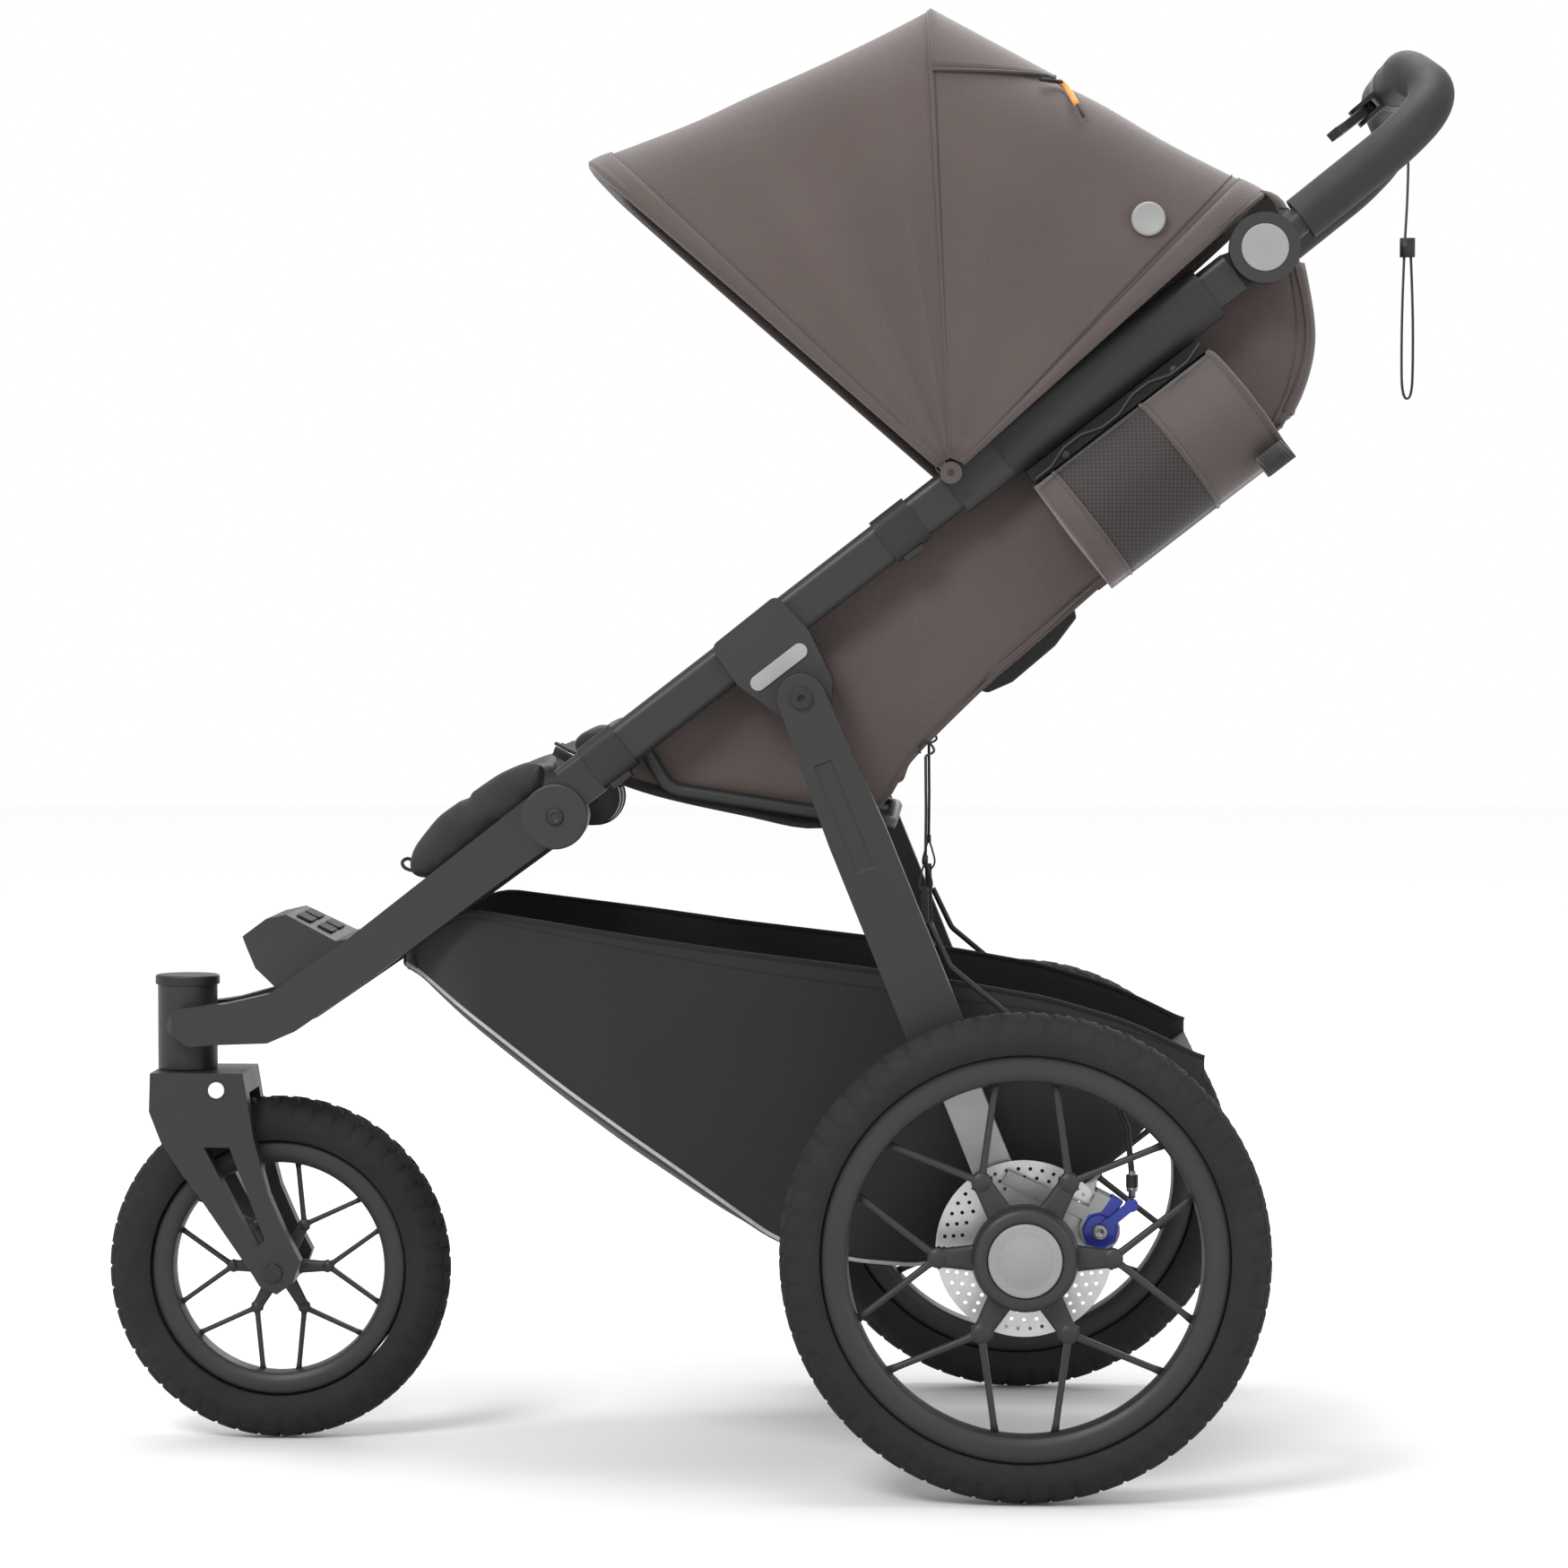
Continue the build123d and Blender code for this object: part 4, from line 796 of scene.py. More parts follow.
for _, sign in SIDES:
    for part_name, at, outer, radius, mat in (("caliper_knobs", P(*ARM_PIN), 0.2655, 0.0062, silver),
                                              ("fold_studs", P(-387.7, 554.6), 0.2342, 0.0072, dark_plastic)):
        stud = [(0.0, 0.0016), (radius * 0.35, 0.0016), (radius * 0.4, 0.0024), (radius * 0.8, 0.0024),
                (radius, 0.0012), (radius, -0.0010), (0.0, -0.0010)]
        small[part_name].append(turned_outward("stud", stud, at.x, at.z, outer, sign, mat, 32))
    outline = [P(ARM_PIN[0] + x, ARM_PIN[1] + z) for x, z in COVER]
    small["caliper_covers"].append(plate("cover", outline, sign * 0.2445, sign * 0.2561, blue, 0.0016))
    foot, top = P(88, 244, sign * 259), P(88, 266, sign * 259)
    for start, stop, radius in ((0.0, 1.0, 0.0030), (0.25, 0.45, 0.0046), (0.62, 0.80, 0.0042)):
        collar = [foot.lerp(top, start), foot.lerp(top, stop)]
        small["cable_adjusters"].append(pipe("collar", collar, radius, silver, count=8))
    for along in (377, 683):
        at = HUB - RAIL * (along / 1000) - RAIL_UP * 0.018
        outline = [at + Vector((x, 0, z)) for x, z in BUCKLE]
        buckle = plate("buckle", outline, sign * 0.206, sign * 0.226, dark_plastic, 0.001)
        small["loop_buckles"].append(buckle)
    for dx in (0, 9):
        hook = curve_through([P(x + dx, z, sign * y) for x, z, y in HOOK], 20)
        small["basket_hooks"].append(pipe("hook", hook, 0.0013, dark_coat))
for part_name, where in SMALL_PARTS.items():
    place(joined(part_name, small[part_name]), *where)

# ---- canopy ------------------------------------------------------------------------------------
CANOPY = P(-61, 838)
CLOTH_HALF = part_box("canopy_front_panel")[1].y
CLOTH_Y = CLOTH_HALF - 0.001
SIDE_WIDE = 0.05
ANGLES = {"front": 139.0, "mid": 92.9, "rear": 42.0}
REACH = {"front": 0.409, "mid": 0.396, "rear": 0.359}
FOOT = 0.012


def arch(bow, count=73):
    """The cloth's arch in the plane of a bow, left foot to right foot."""
    a, radius = math.radians(ANGLES[bow]), REACH[bow]
    out = Vector((math.cos(a), 0, math.sin(a)))
    corners = [(CLOTH_Y, FOOT), (CLOTH_Y - 0.002, 0.25), (CLOTH_Y - 0.034, radius - 0.012), (0, radius)]
    corners += [(-y, r) for y, r in reversed(corners[:-1])]
    points = [CANOPY + Vector((0, -y, 0)) + out * r for y, r in corners]
    return rounded(points, [0.2, 0.09, 0.9, 0.09, 0.2], count)


def outward(p):
    """Direction away from the canopy's middle, for laying one cloth on another."""
    away = Vector((p.x - CANOPY.x, 0, p.z - CANOPY.z)).normalized()
    side_share = max(0.0, (abs(p.y) - (CLOTH_HALF - SIDE_WIDE)) / SIDE_WIDE)
    sideways = Vector((0, math.copysign(side_share, p.y), 0))
    return (away * (1 - side_share) + sideways).normalized()


def canopy_rows(first, last, sag, creases, count=31):
    """Rows of the cloth from one bow to another, hollow between them and creased at the sides."""
    start, stop = arch(first), arch(last)
    rows = []
    for i in range(count):
        t = i / (count - 1)
        row = []
        for a, b in zip(start, stop):
            p = a.lerp(b, t)
            r = math.hypot(p.x - CANOPY.x, p.z - CANOPY.z)
            crown = min(1.0, r / REACH[first])
            hollow = sag * 4 * t * (1 - t) * crown
            side_share = max(0.0, (abs(p.y) - (CLOTH_Y - SIDE_WIDE)) / SIDE_WIDE)
            fold = sum(size * math.exp(-((t - at) / wide) ** 2) for at, wide, size in creases) * side_share
            soft = ripple((p.x, p.y * 0.6, p.z), 10, 0.0045) * math.sin(math.pi * t)
            row.append(p - outward(p) * (hollow - fold * math.sin(math.pi * crown) - soft))
        rows.append(row)
    return rows


def fan_weight(p, low, high):
    """Share of the way round the canopy pivot from one bow's angle to another's."""
    angle = math.degrees(math.atan2(p.z - CANOPY.z, p.x - CANOPY.x)) % 360
    angle = angle - 360 if angle > 270 else angle
    return min(1.0, max(0.0, (angle - low) / (high - low)))


def fan_blend(obj, still, moving, low, high, spot=None):
    """Bends cloth evenly between two bows by the angle about the pivot, or all of it as at one spot."""
    points = [v.co if spot is None else spot for v in obj.data.vertices]
    weights = [fan_weight(p, ANGLES[low], ANGLES[high]) for p in points]
    blend_by(obj, still, moving, P(100, 900), P(-300, 900), weights)


front_cloth = sheet_piece("canopy_front_cloth", canopy_rows(
    "front", "mid", 0.006, [(0.86, 0.045, 0.009), (0.66, 0.08, -0.008), (0.36, 0.10, 0.007)]), taupe, 0.0013)
rear_cloth = sheet_piece("canopy_rear_cloth", canopy_rows(
    "mid", "rear", 0.003, [(0.22, 0.10, 0.003), (0.55, 0.14, -0.003)]), taupe, 0.0013)


def row_at(first, last, t, lift=0.0):
    """The cloth's line at a share of the way from one bow to another, lifted a little."""
    line = [a.lerp(b, t) for a, b in zip(arch(first), arch(last))]
    return [p + outward(p) * lift for p in line]


def band(first, last, t0, t1, lift, mat, thickness=0.0014):
    """A strip of cloth sewn over the canopy between two shares of the way from bow to bow."""
    rows = [row_at(first, last, t0 + (t1 - t0) * k / 4, lift * math.sin(math.pi * (0.15 + 0.7 * k / 4)))
            for k in range(5)]
    return sheet_piece("band", rows, mat, thickness)


def seam(first, last, t, lift, radius, mat):
    return pipe("seam", row_at(first, last, t, lift), radius, mat)


# The thin dark seam pipes stand for stitching and for painted shade along the seams.
front_trim = joined("canopy_front_hem", [
    band("front", "mid", -0.006, 0.058, 0.0016, taupe),
    seam("front", "mid", 0.0, -0.0036, 0.0052, taupe),
    seam("front", "mid", 0.06, 0.0008, 0.0008, thread),
])
rear_trim = joined("canopy_rear_hem", [
    band("mid", "rear", 0.925, 1.005, 0.0018, taupe),
    seam("mid", "rear", 0.922, 0.0009, 0.0008, thread),
    seam("mid", "rear", 0.902, 0.0007, 0.0006, thread),
    seam("mid", "rear", 1.0, -0.001, 0.0028, taupe),
])
middle_seam = joined("canopy_middle_seam", [
    seam("front", "mid", 1.0, 0.0002, 0.0016, taupe),
    seam("mid", "rear", 0.012, 0.0006, 0.0006, thread),
])

# The sun window's flap: laid on the rear cloth, its sides cut level and its rear edge square.
FLAP_LEVEL = P(0, 1169).z


def cut_level(line, level):
    """The stretch of a line that lies above a level, with its ends on the level."""
    high = [k for k, p in enumerate(line) if p.z > level]
    if len(high) < 6:
        return None
    ends = []
    for inside, outside in ((high[0], high[0] - 1), (high[-1], high[-1] + 1)):
        a, b = line[inside], line[outside]
        ends.append(a.lerp(b, (a.z - level) / (a.z - b.z)))
    return [ends[0]] + line[high[0]:high[-1] + 1] + [ends[1]]


flap_rows = []
for i in range(15):
    line = cut_level(row_at("mid", "rear", 0.004 + 0.37 * i / 14, 0.0034), FLAP_LEVEL)
    if line is None:
        break
    flap_rows.append(evenly(line, 61))
flap_edges = [[row[0] for row in flap_rows], [row[-1] for row in flap_rows], flap_rows[-1]]
flap = joined("canopy_window_flap", [sheet_piece("flap_cloth", flap_rows, taupe, 0.0016)]
              + [pipe("flap_edge", edge, 0.0013, taupe_binding) for edge in flap_edges])

REAR_POINTS = [p for k in range(61) for p in row_at("mid", "rear", k / 60)]


def on_cloth(x, z, sign, lift):
    """Point just outside the rear cloth that is seen from the side at x, z."""
    target = P(x, z)
    side_points = [p for p in REAR_POINTS if p.y * sign > SIDE_WIDE]
    near = sorted(side_points, key=lambda p: math.hypot(p.x - target.x, p.z - target.z))[:6]
    y = max(abs(p.y) for p in near)
    return Vector((target.x, sign * (y + lift), target.z))


zip_parts, button_parts = [], []
BUTTON = (100, 1045)
for _, sign in SIDES:
    down = [on_cloth(27, 1163, sign, 0.004), on_cloth(34, 1157, sign, 0.005), on_cloth(42, 1141, sign, 0.005)]
    slider = [on_cloth(13, 1163, sign, 0.004), on_cloth(29, 1162, sign, 0.004)]
    zip_parts.append(pipe("zip_cord", curve_through(down, 12), 0.0026, orange_cord))
    zip_parts.append(pipe("zip_tip", [down[-1], on_cloth(48, 1130, sign, 0.005)], 0.0016, thread))
    zip_parts.append(swept("zip_slider", slider, flat(0.007, 0.0030), dark_plastic))
    profile = [(0.0, 0.0032), (0.0105, 0.0032), (0.0118, 0.0038), (0.0132, 0.0034), (0.0140, 0.0020),
               (0.0140, -0.0010), (0.0, -0.0010)]
    at = P(*BUTTON)
    outer = abs(on_cloth(*BUTTON, sign, 0.0008).y)
    button_parts.append(turned_outward("disc", profile, at.x, at.z, outer, sign, cap_grey, 48))
zip_pulls = joined("canopy_zip_pulls", zip_parts)
side_buttons = joined("canopy_side_buttons", button_parts)

for obj, slot, nodes, spot in (
    (front_cloth, "fabric", ["canopy_front_panel"], None), (front_trim, "fabric", [], None),
    (rear_cloth, "fabric", ["canopy_mid_panel"], None), (rear_trim, "fabric", [], None),
    (middle_seam, "fabric", [], None), (flap, "fabric", [], None),
    (zip_pulls, "fabric", [], flap_rows[-1][0]), (side_buttons, "button", [], P(*BUTTON)),
):
    stand_for(obj, slot, *nodes)
    if obj in (front_cloth, front_trim):
        fan_blend(obj, "canopy_mid", "canopy_front", "mid", "front")
    else:
        fan_blend(obj, "upper_frame", "canopy_mid", "rear", "mid", spot)

# ---- seat shell: side wings, bottom, rear wall ---------------------------------------------------
WING_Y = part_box("seat_base")[1].y
WING_LOW = [(-392, 610), (-372, 600), (-310, 577), (-230, 559), (-175, 549), (-124, 560), (-98, 597),
            (-80, 617), (-33, 663), (14, 705), (59, 748), (118, 797), (170, 843), (214, 879), (228, 912),
            (233, 945), (228, 990), (216, 1022)]
CREASE = P(-106, 588)


def wing(name, sign):
    """One side of the seat shell, from its lower edge up to the rail."""
    low = curve_through([P(x, z) for x, z in WING_LOW], 61)
    rows = []
    for k, foot in enumerate(low):
        u = k / 60
        along = 0.735 * (1 - u) + 0.012 * u
        top = HUB - RAIL * along
        row = []
        for j in range(21):
            v = j / 20
            p = foot.lerp(top, v)
            belly = 0.010 * math.sin(math.pi * min(1, v * 1.15))
            belly *= math.sin(math.pi * min(1.0, u * 1.1)) ** 0.6
            pleat = 0.0040 * math.sin(u * 21 + 2.2 * v) * (1 - v) * math.sin(math.pi * u)
            soft = ripple((p.x, sign, p.z), 14, 0.0075)
            inward = 0.004 * (1 - min(1.0, v * 5))
            y = WING_Y - 0.0035 - inward + belly + pleat + soft * math.sin(math.pi * min(1.0, v * 1.2 + 0.05))
            row.append(Vector((p.x, sign * min(y, WING_Y + 0.0105), p.z)))
        rows.append(row)
    cloth = sheet_piece("wing_cloth", rows, taupe, 0.0016)
    edge = pipe("wing_edge", [row[0] for row in rows[:44]], 0.0022, taupe_binding)
    return joined(name, [cloth, edge])


def back_share(p):
    """How far a point of the seat shell follows the reclining back."""
    off_rail = (p - HUB).dot(RAIL_UP)
    below = min(1.0, max(0.0, (-off_rail - 0.030) / 0.085))
    ahead = min(1.0, max(0.0, (p.x - CREASE.x - 0.005) / 0.05))
    high = 1 - min(1.0, max(0.0, (p.z - P(0, 880).z) / 0.11))
    return below * below * (3 - 2 * below) * ahead * high


def back_blend(obj):
    weights = [back_share(v.co) for v in obj.data.vertices]
    blend_by(obj, "upper_frame", "seat_back", P(-100, 900), P(0, 700), weights)


wings = []
for side_name, sign in SIDES:
    piece = wing(f"seat_wing_{side_name}", sign)
    stand_for(piece, "fabric")
    back_blend(piece)
    wings.append(piece)

ACROSS = [k / 12 - 1 for k in range(25)]
bottom_low = curve_through([P(x, z) for x, z in WING_LOW[:6]], 25)
bottom_rows = [[Vector((p.x, y * (WING_Y - 0.004), p.z + 0.004 * y * y + ripple((p.x, y, 0), 8, 0.0015)))
                for y in ACROSS] for p in bottom_low]
bottom_edges = [[Vector((p.x, sign * (WING_Y - 0.002), p.z - 0.002)) for p in bottom_low]
                for _, sign in SIDES]
seat_bottom = joined("seat_bottom_cloth", [sheet_piece("bottom", bottom_rows, black_cloth, 0.002)]
                     + [pipe("edge", edge, 0.004, black_hem) for edge in bottom_edges])
place(seat_bottom, "upper_frame", "fabric", "seat_base")

rear_line = curve_through([P(x, z) for x, z in WING_LOW[5:14]], 41)
rear_rows = []
for i, p in enumerate(rear_line):
    u = i / 40
    row = []
    for k in range(33):
        y = k / 16 - 1
        sag = 0.010 * (1 - y * y) * math.sin(math.pi * u)
        soft = ripple((p.x, y * 0.3, p.z), 10, 0.003)
        row.append(p + Vector((0.6, 0, -0.8)) * (soft + sag * 0.3) + Vector((0, y * (WING_Y - 0.004), 0)))
    rear_rows.append(row)
# The dark seam pipes stand for stitching and for painted shade along the seams.
seam_rows = [[row[k] + Vector((0.0012, 0, -0.0014)) for row in rear_rows] for k in (6, 26)]
seat_sling = joined("seat_rear_sling", [sheet_piece("sling", rear_rows, taupe, 0.0016)]
                    + [pipe("seam", seam, 0.0008, thread) for seam in seam_rows])
stand_for(seat_sling, "fabric")
back_blend(seat_sling)

WALL = [(197, 1073), (209, 1069), (219, 1054), (228, 1012), (234, 965), (233, 935), (226, 905), (214, 879)]
wall_line = curve_through([P(x, z) for x, z in WALL], 33)


def wall_rows(half, push, first=0, last=None):
    """The rear wall's cloth, crowned across and drawn in at its sides."""
    rows = []
    for p in wall_line[first:last]:
        row = []
        for k in range(33):
            y = k / 16 - 1
            crown = 0.004 * (1 - y * y)
            soft = ripple((p.x, y * 0.4, p.z), 12, 0.0018)
            corner = max(0.0, abs(y) - 0.9) / 0.1
            row.append(p + Vector((crown + soft + push - 0.010 * corner ** 2, y * half, 0)))
        rows.append(row)
    return rows


wall_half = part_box("canopy_rear_panel")[1].y
vent_rows = wall_rows(wall_half * 0.985, 0.0042, 11, 31)
for i, row in enumerate(vent_rows):
    lift = 0.004 * math.sin(math.pi * i / (len(vent_rows) - 1))
    for k, p in enumerate(row):
        p.x += lift * max(0.0, abs(k / 16 - 1) - 0.75) / 0.25
# The dark top seam pipe stands for stitching and for painted shade along the seam.
rear_wall = joined("canopy_rear_wall", [
    sheet_piece("wall", wall_rows(wall_half, 0.0), taupe, 0.0014),
    pipe("top_seam", wall_rows(wall_half, 0.001)[4], 0.0008, thread),
])
vent_edges = [[row[0] for row in vent_rows], [row[-1] for row in vent_rows], vent_rows[-1]]
wall_cover = joined("canopy_vent_flap", [sheet_piece("vent_flap", vent_rows, taupe, 0.0014)]
                    + [pipe("vent_edge", edge, 0.0014, taupe_binding) for edge in vent_edges])
place(wall_cover, "upper_frame", "fabric")
place(rear_wall, "upper_frame", "fabric", "canopy_rear_panel")


# ---- padded pieces -----------------------------------------------------------------------------
def padded_block(name, outline, half_front, half_rear, mat, cap, inset=0.004, corner=0.0077):
    """A cushion grown by cloth pressure from a slightly small block with a side-view outline."""
    points = [P(x, z) for x, z in outline]
    middle = sum(points, Vector()) / len(points)
    shrunk = [p + (middle - p).normalized() * inset for p in points]
    low_x, high_x = min(p.x for p in points), max(p.x for p in points)
    verts = []
    for sign in (-1, 1):
        for p in shrunk:
            t = (p.x - low_x) / (high_x - low_x)
            verts.append(Vector((p.x, sign * (half_front + (half_rear - half_front) * t - inset), p.z)))
    n = len(points)
    faces = [tuple(range(n)), tuple(reversed(range(n, 2 * n)))]
    faces += [(i, (i + 1) % n, n + (i + 1) % n, n + i) for i in range(n)]
    obj = mesh_piece(name, verts, faces, mat)
    rounded_edges(obj, corner, 30, 4).harden_normals = False
    remesh = obj.modifiers.new("voxels", "REMESH")
    remesh.mode = "VOXEL"
    remesh.voxel_size = 0.006
    remesh.use_smooth_shade = True
    apply_modifiers(obj)
    obj.data.materials.clear()
    obj.data.materials.append(mat)
    before = [v.co.copy() for v in obj.data.vertices]
    inflate(obj)
    for v, old in zip(obj.data.vertices, before):
        shift = v.co - old
        if shift.length > cap:
            v.co = old + shift.normalized() * cap
    obj.modifiers.new("even", "SMOOTH").iterations = 4
    obj.modifiers.new("finer", "SUBSURF").levels = 1
    apply_modifiers(obj)
    for face in obj.data.polygons:
        face.use_smooth = True
    return obj


def inflate(obj, last_frame=20):
    """Cloth pressure from inside, without gravity."""
    scene = bpy.context.scene
    mod = obj.modifiers.new("cloth", "CLOTH")
    mod.settings.use_pressure = True
    mod.settings.uniform_pressure_force = 4
    mod.settings.effector_weights.gravity = 0
    mod.settings.tension_stiffness = 20
    mod.settings.compression_stiffness = 20
    mod.point_cache.frame_start, mod.point_cache.frame_end = 1, last_frame
    for number in range(1, last_frame + 1):
        scene.frame_set(number)
    apply_modifiers(obj)
    scene.frame_set(1)


def channel(obj, near, normal, depth, width):
    """Presses a sewn channel into a pad along a line of points, on the side that faces normal."""
    direction = Vector(normal).normalized()
    for v in obj.data.vertices:
        if v.normal.dot(direction) < 0.2:
            continue
        gap = min((v.co - p).length for p in near)
        if gap < width:
            v.co -= direction * depth * (1 - (gap / width) ** 2) ** 2


SEAT_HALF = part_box("seat_pad")[1].y
CHANNEL = range(-165, 166, 5)
seat_outline = [(-386, 620), (-372, 629), (-306, 607), (-176, 584), (-136, 588), (-136, 567), (-175, 561.5),
                (-309, 584.5), (-384, 609)]
seat_cushion = padded_block("seat_cushion", seat_outline, SEAT_HALF, SEAT_HALF, pad_cloth, 0.006)
for x in (-330, -250, -190):
    channel(seat_cushion, [P(x, 611 - (x + 330) * 0.155, y) for y in CHANNEL], (0.1, 0, 1), 0.004, 0.010)
place(seat_cushion, "upper_frame", "pad", "seat_pad")

BACK_FOOT = P(-100, 598)
BACK_ALONG = Vector((math.cos(math.radians(41.5)), 0, math.sin(math.radians(41.5))))
BACK_UP = Vector((-BACK_ALONG.z, 0, BACK_ALONG.x))


def on_back(along, up, y=0.0):
    p = BACK_FOOT + BACK_ALONG * (along / 1000) + BACK_UP * (up / 1000)
    return Vector((p.x, y / 1000, p.z))


def back_side(along, up):
    p = on_back(along, up)
    return ((p.x - AXLE.x) * 1000, p.z * 1000)


back_outline = [back_side(*at) for at in ((12, 13), (404, 13), (398, 30), (380, 34), (30, 34), (14, 26))]
back_cushion = padded_block("back_cushion", back_outline, SEAT_HALF, SEAT_HALF, pad_cloth, 0.006)
for along in (110, 205, 300):
    channel(back_cushion, [on_back(along, 34, y) for y in CHANNEL], BACK_UP, 0.004, 0.010)
place(back_cushion, "seat_back", "pad", "back_pad")

back_rows = [[on_back(6 + 400 * i / 24, 8 - 3 * math.sin(math.pi * i / 24), y * SEAT_HALF * 1000)
              for y in ACROSS] for i in range(25)]
back_board = joined("seat_back_shell", [
    sheet_piece("shell", back_rows, taupe, 0.007),
    pipe("shell_edge", [on_back(8, 8), on_back(406, 8)], 0.003, taupe_binding),
    swept("crease_sleeve", [CREASE + Vector((0, -SEAT_HALF, 0)), CREASE + Vector((0, SEAT_HALF, 0))],
          circle(0.0068, 20), taupe),
])
place(back_board, "seat_back", "fabric", "seat_back")

calf_outline = [(-400, 603), (-440, 586), (-500, 546), (-531, 506), (-531, 492), (-512, 489), (-470, 517),
                (-425, 553), (-400, 577)]
calf_pad = padded_block("calf_pad", calf_outline, 0.112, 0.168, pad_shell, 0.005)
seam_line = curve_through([P(-529, 499), P(-508, 518), P(-470, 548), P(-430, 574), P(-404, 590)], 40)
for _, sign in SIDES:
    side_seam = []
    for p in seam_line:
        t = (p.x - seam_line[0].x) / (seam_line[-1].x - seam_line[0].x)
        side_seam.append(Vector((p.x, sign * (0.113 + 0.056 * t), p.z)))
    channel(calf_pad, side_seam, (0, sign, 0), 0.003, 0.006)
cross_seam = [P(-474, 566, y) for y in range(-130, 131, 4)]
channel(calf_pad, cross_seam, (-0.5, 0, 0.85), 0.003, 0.008)
place(calf_pad, "front_frame", "black_fabric", "calf_rest")
pull = [(-529, 497, -4), (-538, 500, -3), (-541, 505, 0), (-536, 508, 3), (-528, 503, 4)]
calf_loop = pipe("calf_loop", curve_through([P(*at) for at in pull], 20), 0.0016, webbing)
place(calf_loop, "front_frame", "webbing")

# ---- basket ------------------------------------------------------------------------------------
TOP_EDGE = [(-528, 428), (-505, 452), (-470, 472), (-400, 462), (-254, 441), (-130, 426), (-54, 415),
            (20, 402), (84, 383), (130, 362), (152, 350)]
PIPE_EDGE = [(-526, 427), (-466, 385), (-391, 329), (-293, 262), (-205, 200), (-143, 184), (-83, 180),
             (-40, 196), (20, 228), (70, 262), (104, 300), (150, 347)]
KEEL = [(-526, 416), (-512, 397), (-448, 341), (-335, 256), (-256, 206), (-203, 181), (-83, 171), (-46, 190),
        (-24, 213), (10, 224), (66, 257), (98, 289), (150, 345)]
HALF_WIDTH = [(-528, 98), (-470, 160), (-330, 195), (-60, 205), (152, 198)]


def height_at(curve, x):
    """Height of a side-view line at x, with straight stretches between its points."""
    if x <= curve[0][0]:
        return curve[0][1]
    for (x0, z0), (x1, z1) in zip(curve, curve[1:]):
        if x <= x1:
            return z0 + (z1 - z0) * (x - x0) / (x1 - x0)
    return curve[-1][1]


def softened(curve, x, reach=14):
    return sum(height_at(curve, x + d) for d in (-reach, -reach / 2, 0, reach / 2, reach)) / 5


def other_side(line):
    return [Vector((p.x, -p.y, p.z)) for p in line]


bag_rows = []
for x in [-526 + 676 * k / 84 for k in range(85)]:
    top, edge, keel = (softened(c, x) for c in (TOP_EDGE, PIPE_EDGE, KEEL))
    edge = min(edge, top - 1)
    keel = min(keel, edge - 0.5)
    w = softened(HALF_WIDTH, x)
    row = []
    for k in range(15):
        v = k / 14
        z = top + (edge - top) * v
        fall = (top - edge) / 260
        out = 5 * math.sin(math.pi * v) * fall - 3 * (1 - v)
        crease = ripple((x * 0.001, 3.1, z * 0.001), 13, 5.0)
        crease *= math.sin(math.pi * min(1, v + 0.08)) * min(1, fall + 0.2)
        row.append(P(x, z, -(w - 4 + out + crease)))
    for k in range(1, 10):
        v = k / 9 * math.pi / 2
        y = (w - 4) * (1 - math.sin(v) ** 1.4)
        z = edge + (keel - edge) * math.sin(v) ** 0.8
        row.append(P(x, z + ripple((x * 0.001, y * 0.004, 0.7), 9, 2.0), -y))
    bag_rows.append(row + other_side(row[-2::-1]))
front_close = [[bag_rows[0][k].lerp(bag_rows[0][-1 - k], t / 6) + Vector((-0.002, 0, 0))
                for k in range(len(bag_rows[0]) // 2)] for t in range(7)]
bag_parts = [sheet_piece("bag", bag_rows, black_cloth, 0.0018),
             sheet_piece("bag_front", front_close, black_cloth, 0.0018)]
for line, radius, mat in (
    ([row[1].lerp(row[0], 0.2) + Vector((0, -0.0008, 0)) for row in bag_rows], 0.0007, black_hem),
    ([row[0] for row in bag_rows], 0.0024, black_hem),
    ([row[14] + Vector((0, -0.0006, -0.0004)) for row in bag_rows[:62]], 0.0017, reflective),
):
    bag_parts += [pipe("trim", line, radius, mat), pipe("trim", other_side(line), radius, mat)]
bag = joined("basket_bag", bag_parts)
place(bag, "upper_frame", "black_fabric", "basket")
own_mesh(bag)

# ---- seat tethers ------------------------------------------------------------------------------
TETHER = centre_of("seat_tether")
tether_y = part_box("seat_tether")[1].y - 0.0032


def tether_line(sign, *points):
    """Points (sideways of the tether, height), in millimetres, in the plane of one tether."""
    return [Vector((TETHER.x + dx / 1000, sign * tether_y, z / 1000)) for dx, z in points]


tether_parts = []
for _, sign in SIDES:
    hook = tether_line(sign, (0, 604), (7, 608), (4, 614), (0, 616), (-4, 612), (-5, 606))
    ring = tether_line(sign, (0, 517), (-3, 508), (-5.5, 497), (-3, 491), (0, 490), (3, 491), (5.5, 497),
                       (3, 508), (0, 517))
    strap = tether_line(sign, (-0.5, 495), (0, 470), (0.5, 448), (3, 420))
    tether_parts += [
        pipe("hook", curve_through(hook, 24), 0.0011, dark_coat),
        pipe("cord", tether_line(sign, (0, 604), (0.4, 560), (0, 517)), 0.0013, webbing),
        pipe("crimp", tether_line(sign, (0, 521), (0, 514)), 0.0022, dark_coat),
        pipe("ring", curve_through(ring, 36), 0.0009, dark_coat),
        swept("strap", curve_through(strap, 16), flat(0.0062, 0.0022), webbing, up=(0, 1, 0)),
    ]
tethers = joined("seat_tethers", tether_parts)
place(tethers, "upper_frame", "cable", "seat_tether")
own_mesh(tethers)


# ---- side pouches ------------------------------------------------------------------------------


def by_rail(along, up, y):
    """Point a distance down the rail from the handle hub, in millimetres, at a given y in metres."""
    p = HUB - RAIL * (along / 1000) + RAIL_UP * (up / 1000)
    return Vector((p.x, y, p.z))


